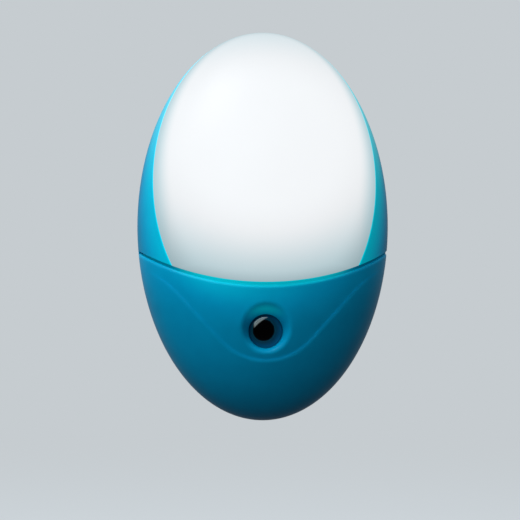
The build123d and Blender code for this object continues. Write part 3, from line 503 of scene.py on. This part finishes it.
def worked_metal(name, dark_hex, light_hex, roughness, mark_size, marks, relief=0.01 * mm):
    """A metal with tool marks. marks is how dense they are along X, Y and Z."""
    finish, tree, output, place = new_finish(name)
    lines = node(tree, "VectorMath", MULTIPLY, _0=place, _1=marks)
    scratches = node(tree, "TexNoise", Vector=lines, Scale=1 / mark_size, Detail=3.0)
    bloom = node(tree, "TexNoise", Vector=place, Scale=1 / bloom_size, Detail=3.0)
    tint = node(tree, "Mix", COLOUR, Factor=bloom, A=linear(dark_hex), B=linear(light_hex))
    dull = node(
        tree,
        "MapRange",
        Value=bloom,
        From_Min=0.3,
        From_Max=0.7,
        To_Min=0.8 * roughness,
        To_Max=1.2 * roughness,
    )
    bump = node(tree, "Bump", Height=scratches, Strength=0.3, Distance=relief)
    surface = node(tree, "BsdfPrincipled", Base_Color=tint, Metallic=1.0, Roughness=dull, Normal=bump)
    tree.links.new(surface.outputs[0], output.inputs["Surface"])
    return finish


nickel = worked_metal("nickel_plated_brass", "#C9C4BA", "#DCD8D0", 0.16, 0.3 * mm, turned_marks)
zinc = worked_metal("zinc_plated_steel", "#9FA3A8", "#BEC0BC", 0.34, 0.2 * mm, even_marks)
brass = worked_metal("rolled_brass", "#C69A4C", "#D9B266", 0.24, 0.25 * mm, rolled_marks)
bronze = worked_metal("phosphor_bronze", "#B07A4E", "#C69264", 0.28, 0.25 * mm, rolled_marks)
dress(["pin_left", "pin_right"], nickel)
dress(["case_screws", "retainer_screws", "board_screws"], zinc)
dress(["contact_ring_inner", "contact_ring_outer"], brass)
dress(["brush_inner", "brush_outer"], bronze)

# %% [markdown]
# ## Matt mouldings
#
# The pins' sleeves, the washer and the retainer are nylon, the tray is white polystyrene that throws
# the light forward, and the sensor's tube is black ABS so that no lamp light reaches the sensor. They
# differ in colour, sheen and the grain that their moulds leave, which is drawn coarser than it is, so
# that it shows.


# %% Matt plastics
def moulded(name, dark_hex, light_hex, roughness, grain_size, ior=1.53):
    """A matt moulded plastic with a fine grain and a slight cloudiness."""
    finish, tree, output, place = new_finish(name)
    grain = node(tree, "TexNoise", Vector=place, Scale=1 / grain_size, Detail=3.0)
    cloud = node(tree, "TexNoise", Vector=place, Scale=1 / ripple_size, Detail=2.0)
    tint = node(tree, "Mix", COLOUR, Factor=cloud, A=linear(dark_hex), B=linear(light_hex))
    dull = node(tree, "MapRange", Value=grain, From_Min=0.3, From_Max=0.7, To_Min=roughness, To_Max=0.65)
    bump = node(tree, "Bump", Height=grain, Strength=0.5, Distance=0.04 * mm)
    surface = node(tree, "BsdfPrincipled", Base_Color=tint, Roughness=dull, IOR=ior, Normal=bump)
    tree.links.new(surface.outputs[0], output.inputs["Surface"])
    return finish


dress(["sleeve_left", "sleeve_right"], moulded("black_nylon", "#101012", "#17171A", 0.36, 0.3 * mm))
dress(["friction_washer"], moulded("natural_nylon", "#DAD8CC", "#E6E4DA", 0.45, 0.4 * mm))
dress(["swivel_retainer"], moulded("grey_nylon", "#565B62", "#62676E", 0.45, 0.3 * mm))
dress(["reflector_tray"], moulded("white_polystyrene", "#E6E8E8", "#EFF0F0", 0.40, 0.5 * mm, ior=1.59))
dress(["sensor_holder"], moulded("black_abs", "#0D0D0E", "#141416", 0.55, 0.3 * mm))

# %% [markdown]
# ## Circuit board
#
# The board is glass-filled epoxy, etched on the back and coated with green solder resist. The copper
# lies under the resist and shows as paler, slightly raised fields with thin gaps between them. The cut
# edge and the drilled holes show the bare yellowish core. A brick pattern gives the fields, and the
# depth tells core from coating.

# %% Solder resist over copper
field_size = 6.0 * mm
coat = 0.06 * mm
board_middle = (board_front + board_back) / 2
core_half = (board_back - board_front) / 2 - coat

resist, tree, output, place = new_finish("solder_resist")
parts = node(tree, "SeparateXYZ", Vector=place)
upright = node(tree, "CombineXYZ", X=parts.outputs["X"], Y=parts.outputs["Z"])
fields = node(
    tree,
    "TexBrick",
    {"offset": 0.37, "squash": 1.6, "squash_frequency": 3},
    Vector=upright,
    Color1=linear("#1C6B3A"),
    Color2=linear("#226F3F"),
    Mortar=linear("#135330"),
    Scale=1 / field_size,
    Mortar_Size=0.03,
    Brick_Width=2.1,
    Row_Height=1.35,
)
etched = node(tree, "Math", ABOVE, _0=parts.outputs["Y"], _1=board_back - coat)
coated = node(tree, "Mix", COLOUR, Factor=etched, A=linear("#124F2C"), B=fields.outputs["Color"])
from_middle = node(tree, "Math", SUBTRACT, _0=parts.outputs["Y"], _1=board_middle)
cut = node(tree, "Math", BELOW, _0=node(tree, "Math", SIZE_ONLY, _0=from_middle), _1=core_half)
board_colour = node(tree, "Mix", COLOUR, Factor=cut, A=coated, B=linear("#B5A56C"))
ridge = node(tree, "Bump", Height=fields.outputs["Fac"], Strength=0.6, Distance=-0.04 * mm)
gloss = node(tree, "MapRange", Value=cut, To_Min=0.28, To_Max=0.70)
surface = node(tree, "BsdfPrincipled", Base_Color=board_colour, Roughness=gloss, Normal=ridge)
tree.links.new(surface.outputs[0], output.inputs["Surface"])
dress(["circuit_board"], resist)

# %% [markdown]
# ## Parts on the board
#
# Each part is a body with tinned copper leads, and the CAD makes the two as one solid. So each finish
# here is two shaders: the body's, and tin wherever the surface lies beyond the body's end. Standing
# parts end at the board, and lying ones end left and right of their middle. Coloured rings follow the
# same distance, as a share of the body's length.

# %% Bodies with tinned leads
axis_number = {"X": 0, "Y": 1, "Z": 2}
tin_hex = "#C4C4C0"
end_slack = 0.02 * mm
cloud_size = 2.0 * mm
body_grain = 0.3 * mm
ring_share = 0.08


def leaded(name, part, axis, body_length, body_hex, roughness, rings=(), marks=None):
    """A body along an axis between tinned leads. rings go round it, and marks draws what else it has."""
    finish, tree, output, place = new_finish(name)
    low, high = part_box(part)
    number = axis_number[axis]
    centre = low[1] + body_length / 2 if axis == "Y" else (low[number] + high[number]) / 2
    parts = node(tree, "SeparateXYZ", Vector=place)
    along = node(tree, "Math", SUBTRACT, _0=parts.outputs[axis], _1=centre)
    size = node(tree, "Math", SIZE_ONLY, _0=along)
    lead = node(tree, "Math", ABOVE, _0=size, _1=body_length / 2 + end_slack)
    colour = linear(body_hex)
    if rings:
        share = node(tree, "Math", MULTIPLY_ADD, _0=along, _1=1 / body_length, _2=0.5)
        colour = node(tree, "ValToRGB", Fac=share)
        colour.color_ramp.interpolation = "CONSTANT"
        stops = [(0.0, body_hex)]
        for start, hex_colour in rings:
            stops += [(start, hex_colour), (start + ring_share, body_hex)]
        set_stops(colour, stops)
    if marks:
        colour = marks(tree, parts, colour)
    cloud = node(tree, "TexNoise", Vector=place, Scale=1 / cloud_size, Detail=2.0)
    tone = node(tree, "MapRange", Value=cloud, From_Min=0.3, From_Max=0.7, To_Min=0.85, To_Max=1.15)
    colour = node(tree, "Mix", SHADE, Factor=1.0, A=colour, B=tone)
    grain = node(tree, "TexNoise", Vector=place, Scale=1 / body_grain, Detail=2.0)
    bump = node(tree, "Bump", Height=grain, Strength=0.3, Distance=0.03 * mm)
    body = node(tree, "BsdfPrincipled", Base_Color=colour, Roughness=roughness, Normal=bump)
    dull = node(tree, "MapRange", Value=grain, From_Min=0.3, From_Max=0.7, To_Min=0.22, To_Max=0.34)
    tin = node(tree, "BsdfPrincipled", Base_Color=linear(tin_hex), Metallic=1.0, Roughness=dull)
    both = node(tree, "MixShader", _0=lead, _1=body, _2=tin)
    tree.links.new(both.outputs[0], output.inputs["Surface"])
    dress([part], finish)


def standing(part):
    """How far a standing part's body reaches from the board."""
    return board_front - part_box(part)[0][1]


fusible_rings = [(0.16, "#7A4A22"), (0.34, "#161616"), (0.52, "#161616"), (0.78, "#B58A2C")]
bleeder_rings = [(0.14, "#161616"), (0.32, "#6B3A1C"), (0.52, "#C7A51E"), (0.76, "#B58A2C")]
zener_rings = [(0.72, "#121212"), (0.80, "#121212")]
transistor_body = 4.6 * mm
fusible_body = 9.0 * mm
bleeder_body = 4.4 * mm
zener_body = 4.0 * mm
film, bridge, transistor = "film_capacitor", "bridge_rectifier", "switching_transistor"
leaded("dipped_epoxy_red", film, "Y", standing(film), "#8E1C14", 0.22)
leaded("moulded_epoxy_black", bridge, "Y", standing(bridge), "#141414", 0.55)
leaded("transistor_epoxy", transistor, "Y", transistor_body, "#161617", 0.48)
leaded("cement_lacquer", "fusible_resistor", "X", fusible_body, "#8FA3A0", 0.50, fusible_rings)
leaded("resistor_lacquer", "bleeder_resistor", "X", bleeder_body, "#C9B183", 0.42, bleeder_rings)
leaded("diode_glass", "zener_diode", "Z", zener_body, "#C0552A", 0.12, zener_rings)

# %% [markdown]
# ## Smoothing capacitor
#
# The can is aluminium in a shrunk dark sleeve. The sleeve leaves the top bare inside its rolled rim, and
# a pale stripe down one side marks the negative lead. Both follow from the place on the can.

# %% Sleeve, stripe and bare top
can = "smoothing_capacitor"
can_low, can_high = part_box(can)
can_radius = (can_high[0] - can_low[0]) / 2
can_axis = (-(can_low[0] + can_high[0]) / 2, 0.0, -(can_low[2] + can_high[2]) / 2)


def sleeve_marks(tree, parts, colour):
    """Adds the pale stripe on the can's right side and the bare top inside the rim."""
    flat = node(tree, "CombineXYZ", X=parts.outputs["X"], Z=parts.outputs["Z"])
    spot = node(tree, "VectorMath", ADD, _0=flat, _1=can_axis)
    beside = node(tree, "SeparateXYZ", Vector=spot).outputs["X"]
    stripe = node(tree, "Math", ABOVE, _0=beside, _1=0.93 * can_radius)
    off_axis = node(tree, "VectorMath", LENGTH, _0=spot)
    inside = node(tree, "Math", BELOW, _0=off_axis, _1=0.82 * can_radius)
    on_top = node(tree, "Math", BELOW, _0=parts.outputs["Y"], _1=can_low[1] + 0.1 * mm)
    bare = node(tree, "Math", MULTIPLY, _0=inside, _1=on_top)
    striped = node(tree, "Mix", COLOUR, Factor=stripe, A=colour, B=linear("#AEB4BC"))
    return node(tree, "Mix", COLOUR, Factor=bare, A=striped, B=linear("#B9BCBE"))


leaded("shrunk_sleeve", can, "Y", standing(can), "#141B33", 0.30, marks=sleeve_marks)

# %% [markdown]
# ## Photocell
#
# The photocell is a disc of glazed orange ceramic with a comb of silver electrodes across its face.
# Stripes at the comb's pitch, kept inside a circle, draw it.

# %% Ceramic and comb
disc_thickness = 2.1 * mm
comb_pitch = 0.7 * mm
comb_radius = 2.0 * mm


def comb(tree, parts, colour):
    """Silver electrode fingers across the disc's face, short of its rim."""
    flat = node(tree, "CombineXYZ", X=parts.outputs["X"], Z=parts.outputs["Z"])
    spot = node(tree, "VectorMath", ADD, _0=flat, _1=(0.0, 0.0, -lens_z))
    face = node(tree, "Math", BELOW, _0=node(tree, "VectorMath", LENGTH, _0=spot), _1=comb_radius)
    row = node(tree, "Math", MULTIPLY, _0=parts.outputs["Z"], _1=1 / comb_pitch)
    finger = node(tree, "Math", BELOW, _0=node(tree, "Math", {"operation": "FRACT"}, _0=row), _1=0.45)
    silver = node(tree, "Math", MULTIPLY, _0=finger, _1=face)
    return node(tree, "Mix", COLOUR, Factor=silver, A=colour, B=linear("#C9C6BE"))


leaded("glazed_ceramic", "photocell", "Y", disc_thickness, "#B5572B", 0.20, marks=comb)

# %% [markdown]
# ## LEDs
#
# An LED of this kind is clear epoxy over a chip that is capped with yellow phosphor, so its middle is
# yellow and its outside is water clear. All four share one finish: the distance to the nearest lamp's
# axis comes from folding the place left to right and top to bottom.

# %% LED epoxy
lower_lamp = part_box("led_lower_left")
upper_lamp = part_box("led_upper_right")
lamp_x = (upper_lamp[0][0] + upper_lamp[1][0]) / 2
lower_z = (lower_lamp[0][2] + lower_lamp[1][2]) / 2
upper_z = (upper_lamp[0][2] + upper_lamp[1][2]) / 2
flange_back = board_front - 0.5 * mm
speck_size = 0.4 * mm

epoxy, tree, output, place = new_finish("led_epoxy")
fold = (lamp_x, 0.0, (upper_z - lower_z) / 2)
from_middle = node(tree, "VectorMath", SUBTRACT, _0=place, _1=(0.0, 0.0, (lower_z + upper_z) / 2))
folded = node(tree, "VectorMath", SUBTRACT, _0=node(tree, "VectorMath", SIZE_ONLY, _0=from_middle), _1=fold)
flat = node(tree, "VectorMath", MULTIPLY, _0=folded, _1=(1.0, 0.0, 1.0))
off_axis = node(tree, "VectorMath", LENGTH, _0=flat)
phosphor = node(tree, "MapRange", SOFT, Value=off_axis, From_Min=1.9 * mm, From_Max=0.6 * mm)
core = node(tree, "Mix", COLOUR, Factor=phosphor, A=linear("#E4EAE6"), B=linear("#E9CF52"))
speck = node(tree, "TexNoise", Vector=place, Scale=1 / speck_size, Detail=2.0)
shine = node(tree, "MapRange", Value=speck, From_Min=0.3, From_Max=0.7, To_Min=0.06, To_Max=0.12)
clear = node(
    tree,
    "BsdfPrincipled",
    Base_Color=core,
    Roughness=shine,
    IOR=1.54,
    Transmission_Weight=0.25,
    Emission_Color=linear("#FFF6DC"),
    Emission_Strength=node(tree, "Math", MULTIPLY, _0=phosphor, _1=0.5),
)
wire = node(tree, "BsdfPrincipled", Base_Color=linear(tin_hex), Metallic=1.0, Roughness=0.28)
depth = node(tree, "SeparateXYZ", Vector=place).outputs["Y"]
beyond = node(tree, "Math", ABOVE, _0=depth, _1=flange_back + end_slack)
both = node(tree, "MixShader", _0=beyond, _1=clear, _2=wire)
tree.links.new(both.outputs[0], output.inputs["Surface"])
dress(["led_lower_left", "led_lower_right", "led_upper_left", "led_upper_right"], epoxy)

# %% [markdown]
# ## Solder joints
#
# Each lead comes through the board, and a cone of solder ties it to the copper on the back. Solder
# wets the lead and the pad, so the cone's side is hollow, steep at the wire and flat at the pad. One
# joint is modelled from a flat disc that is extruded and narrowed in steps, and the rest are copies.
# Their places follow from each part's box and from the spacing of its leads.

# %% Places of the leads
pitch = 2.54 * mm


def leads(part, *steps):
    """Places at the given steps from a part's middle, and at the opposite ones."""
    low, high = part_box(part)
    x, z = (low[0] + high[0]) / 2, (low[2] + high[2]) / 2
    return [(x + side * across, z + side * up) for across, up in steps for side in (-1, 1)]


joints = []
for part in ("led_lower_left", "led_lower_right", "led_upper_left", "led_upper_right", "photocell"):
    joints += leads(part, (pitch / 2, 0.0))
joints += leads("film_capacitor", (0.0, 5.0 * mm))
joints += leads("smoothing_capacitor", (1.75 * mm, 0.0))
joints += leads("bridge_rectifier", (pitch, pitch), (pitch, -pitch))
joints += leads("fusible_resistor", (2.5 * pitch, 0.0))
joints += leads("bleeder_resistor", (1.5 * pitch, 0.0))
joints += leads("zener_diode", (0.0, 1.5 * pitch))
low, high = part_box("switching_transistor")
transistor_radius = (high[0] - low[0]) / 2
transistor_x, transistor_z = low[0] + transistor_radius, high[2] - transistor_radius
joints += [(transistor_x + step * pitch / 2, transistor_z) for step in (-1, 0, 1)]
print("leads to solder", len(joints))

# %% One joint
pad_radius = 0.95 * mm
# Each step up the cone: how far it rises and what share of its width it keeps
joint_steps = [(0.12 * mm, 0.72), (0.16 * mm, 0.72), (0.22 * mm, 0.80), (0.20 * mm, 0.70)]

bpy.ops.object.select_all(action="DESELECT")
bpy.ops.mesh.primitive_circle_add(
    vertices=20, radius=pad_radius, fill_type="NGON", location=(0, 0, 0), rotation=(-math.pi / 2, 0, 0)
)
joint = bpy.context.active_object
bpy.ops.object.transform_apply(location=False, rotation=True, scale=True)
bpy.ops.object.mode_set(mode="EDIT")
bpy.ops.mesh.select_all(action="SELECT")
for rise, kept in joint_steps:
    bpy.ops.mesh.extrude_region_move(TRANSFORM_OT_translate={"value": (0, rise, 0)})
    bpy.ops.transform.resize(value=(kept, 1.0, kept))
bpy.ops.mesh.select_all(action="SELECT")
bpy.ops.mesh.normals_make_consistent(inside=False)
bpy.ops.object.mode_set(mode="OBJECT")
print("one joint has", len(joint.data.polygons), "faces")

# %% All joints
copies = []
for x, z in joints:
    copy = bpy.data.objects.new("joint", joint.data.copy())
    bpy.context.scene.collection.objects.link(copy)
    copy.location = (x, board_back, z)
    copies.append(copy)
bpy.data.objects.remove(joint)
bpy.ops.object.select_all(action="DESELECT")
for copy in copies:
    copy.select_set(True)
bpy.context.view_layer.objects.active = copies[0]
bpy.ops.object.join()
solder_joints = bpy.context.active_object
solder_joints.name = "solder_joints"
bpy.ops.object.transform_apply(location=True, rotation=True, scale=True)
bpy.ops.object.shade_smooth_by_angle(angle=math.radians(50))
solder = worked_metal("tin_solder", "#A9ACAD", "#C6C8C6", 0.26, 0.4 * mm, even_marks, 0.02 * mm)
solder_joints.data.materials.append(solder)
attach(solder_joints, "housing")
print("solder joints", len(copies), "with", len(solder_joints.data.vertices), "vertices")

# %% [markdown]
# ## Floor
#
# A pale floor lies well below the light. It has three looks, chosen by the ray that meets it. The
# camera sees a floor that melts into the background a short way off, also through clear glass. A
# mirror sees it dimmed towards the camera's side, where a studio is dark. All other light meets a grey
# paint, so that the floor lifts the chin's shade only a little.


# %% Floor
def by_ray(tree, lighting, mirrored, seen):
    """Three looks in one: for soft light, for mirrors, and for what the camera sees directly."""
    path = node(tree, "LightPath").outputs
    direct = node(tree, "Math", LARGER, _0=path["Is Camera Ray"], _1=path["Is Transmission Ray"])
    indirect = node(tree, "MixShader", _0=path["Is Glossy Ray"], _1=lighting, _2=mirrored)
    return node(tree, "MixShader", _0=direct, _1=indirect, _2=seen)


floor_drop = 90.0 * mm
floor_size = 8.0
background_hex = "#C6CCD0"

bpy.ops.object.select_all(action="DESELECT")
bpy.ops.mesh.primitive_plane_add(size=floor_size, location=(0, 0, chin - floor_drop))
floor = bpy.context.active_object
floor.name = "floor"
paint, tree, output, place = new_finish("floor_paint")
grey = node(tree, "BsdfDiffuse", Color=linear("#43474B"))
near_paint = node(tree, "BsdfDiffuse", Color=linear("#8C9296"))
lift = node(tree, "Emission", Color=linear(background_hex), Strength=0.68)
near_look = node(tree, "AddShader", _0=near_paint, _1=lift)
far_look = node(tree, "Emission", Color=linear(background_hex), Strength=1.0)
distance = node(tree, "VectorMath", LENGTH, _0=place)
far = node(tree, "MapRange", SOFT, Value=distance, From_Min=0.15, From_Max=0.75)
look = node(tree, "MixShader", _0=far, _1=near_look, _2=far_look)
room = node(tree, "SeparateXYZ", Vector=place).outputs["Y"]
dark_room = node(
    tree, "MapRange", SOFT, Value=room, From_Min=-0.4, From_Max=0.4, To_Min=0.02, To_Max=0.45
)
mirrored = node(tree, "Emission", Color=linear(background_hex), Strength=dark_room)
painted = by_ray(tree, grey, mirrored, look)
tree.links.new(painted.outputs[0], output.inputs["Surface"])
floor.data.materials.append(paint)
print("floor", round(floor_drop / mm), "mm below the chin")

# %% [markdown]
# ## Surround
#
# The surround has the same three looks. The soft light comes mostly from the upper left and least from
# the camera's side, and it is bluer from below, so the chin falls into a soft, cool shade. The camera
# sees one flat pale tone. A mirror sees that tone too, dimmed towards the camera's side and raised
# overhead.

# %% Soft daylight
world = bpy.data.worlds.new("studio")
bpy.context.scene.world = world
world.use_nodes = True
tree = world.node_tree
tree.nodes.clear()
direction = node(tree, "TexCoord").outputs["Generated"]
parts = node(tree, "SeparateXYZ", Vector=direction)
upper_left = node(tree, "VectorMath", DOT, _0=direction, _1=(-0.35, 0.0, 0.94))
sky = node(tree, "MapRange", SOFT, Value=upper_left, From_Min=-0.5, From_Max=0.9, To_Min=0.06, To_Max=1.0)
front = node(tree, "MapRange", SOFT, Value=parts.outputs["Y"], From_Min=-1.0, From_Max=-0.3, To_Min=0.3)
cool = node(tree, "MapRange", SOFT, Value=parts.outputs["Z"], From_Min=-0.6, From_Max=0.5)
tone = node(tree, "Mix", COLOUR, Factor=cool, A=linear("#A9C3E6"), B=linear("#E6EAED"))
daylight = node(tree, "Background", Color=tone, Strength=node(tree, "Math", MULTIPLY, _0=sky, _1=front))
print("daylight from", len(tree.nodes), "nodes")

# %% [markdown]
# ## A crescent in the sensor's window
#
# The window's crown mirrors a wide view of the room, about the line on which its middle throws the
# camera's view back. The crescent is a patch of that view, and only mirrors see it. It lies inside one
# cone about that line and outside another that leans to the lower right, so it shows at the upper
# left. Its left end is cut short, and faint bands run along it.

# %% Crescent
# Every edge is soft: each pair says where it starts and ends, the cones' in degrees, the left end in X.
outer_edge = (37.5, 40.0)
cone_edge = (74.5, 77.0)
cone_azimuth = math.radians(-51.3)
cone_lean = math.radians(52.3)
left_end = (-0.48, -0.43)
band_angle = math.radians(4.6)
crescent_strength = 6.0

mirror_way = Vector((-towards.x, towards.y, -towards.z)).normalized()
rightwards = Vector((math.cos(view_azimuth), math.sin(view_azimuth), 0.0))
upwards = rightwards.cross(-mirror_way)
sideways = math.cos(cone_azimuth) * rightwards + math.sin(cone_azimuth) * upwards
cone_axis = mirror_way * math.cos(cone_lean) + sideways * math.sin(cone_lean)
off_middle = node(tree, "VectorMath", DOT, _0=direction, _1=mirror_way)
angle = node(tree, "Math", {"operation": "ARCCOSINE"}, _0=off_middle)
near, far = (math.radians(degrees) for degrees in outer_edge)
outer = node(tree, "MapRange", SOFT, Value=angle, From_Min=near, From_Max=far, To_Min=1.0, To_Max=0.0)
off_cone = node(tree, "VectorMath", DOT, _0=direction, _1=cone_axis)
near, far = (math.cos(math.radians(degrees)) for degrees in cone_edge)
inner = node(tree, "MapRange", SOFT, Value=off_cone, From_Min=near, From_Max=far)
end = node(tree, "MapRange", SOFT, Value=parts.outputs["X"], From_Min=left_end[0], From_Max=left_end[1])
turns = node(tree, "Math", MULTIPLY, _0=angle, _1=2 * math.pi / band_angle)
wave = node(tree, "Math", {"operation": "SINE"}, _0=turns)
bands = node(tree, "MapRange", Value=wave, From_Min=-1.0, To_Min=0.65, To_Max=1.0)
crescent = outer
for limit in (inner, end, bands):
    crescent = node(tree, "Math", MULTIPLY, _0=crescent, _1=limit)
shining = node(tree, "Background", Color=linear("#DDF2F4"), Strength=crescent_strength)
print("crescent out to", outer_edge[1], "degrees")

# %% The three looks together
forward, up = parts.outputs["Y"], parts.outputs["Z"]
dark_room = node(
    tree, "MapRange", SOFT, Value=forward, From_Min=-0.9, From_Max=0.2, To_Min=0.02, To_Max=0.5
)
overhead = node(tree, "MapRange", SOFT, Value=up, From_Min=0.25, From_Max=0.95, To_Min=1.0, To_Max=2.2)
ceiling = node(tree, "Math", MULTIPLY, _0=dark_room, _1=overhead)
room_tone = node(tree, "Background", Color=linear(background_hex), Strength=ceiling)
mirrored = node(tree, "MixShader", _0=crescent, _1=room_tone, _2=shining)
backdrop = node(tree, "Background", Color=linear(background_hex), Strength=1.0)
node(tree, "OutputWorld", Surface=by_ray(tree, daylight, mirrored, backdrop))
print("surround from", len(tree.nodes), "nodes")

# %% [markdown]
# ## Studio lamps
#
# The main softbox stands high on the left, as a window would. A weak one on the right softens its
# shadows, and a narrow one in front brightens the chin. Mirrors don't see the one in front, as its
# place in the sensor's window is where the crescent is.


# %% Softboxes
def softbox(name, place, width, height, watts, target, roll=0.0):
    """A rectangular soft lamp that faces the target, rolled about its own axis."""
    data = bpy.data.lights.new(name, "AREA")
    data.shape = "RECTANGLE"
    data.size = width
    data.size_y = height
    data.energy = watts
    made = bpy.data.objects.new(name, data)
    bpy.context.scene.collection.objects.link(made)
    made.location = place
    made.rotation_euler = (Vector(target) - Vector(place)).to_track_quat("-Z", "Y").to_euler()
    made.rotation_euler.rotate_axis("Z", roll)
    print(name, round((Vector(target) - Vector(place)).length, 2), "m away")
    return made


softbox("window_box", (-0.50, -0.45, 0.72), width=0.6, height=0.5, watts=7.2, target=housing_centre)
softbox("fill_box", (0.75, -0.65, 0.35), width=0.6, height=0.6, watts=0.25, target=housing_centre)
front_box = softbox(
    "front_box",
    (-0.186, -0.746, 0.339),
    width=0.61,
    height=0.24,
    watts=2.1,
    target=lens_front,
    roll=math.radians(29),
)
front_box.visible_glossy = False

# %% [markdown]
# ## Finish
#
# The Standard view shows each colour as it is written.

# %% Colour view
bpy.context.scene.view_settings.view_transform = "Standard"
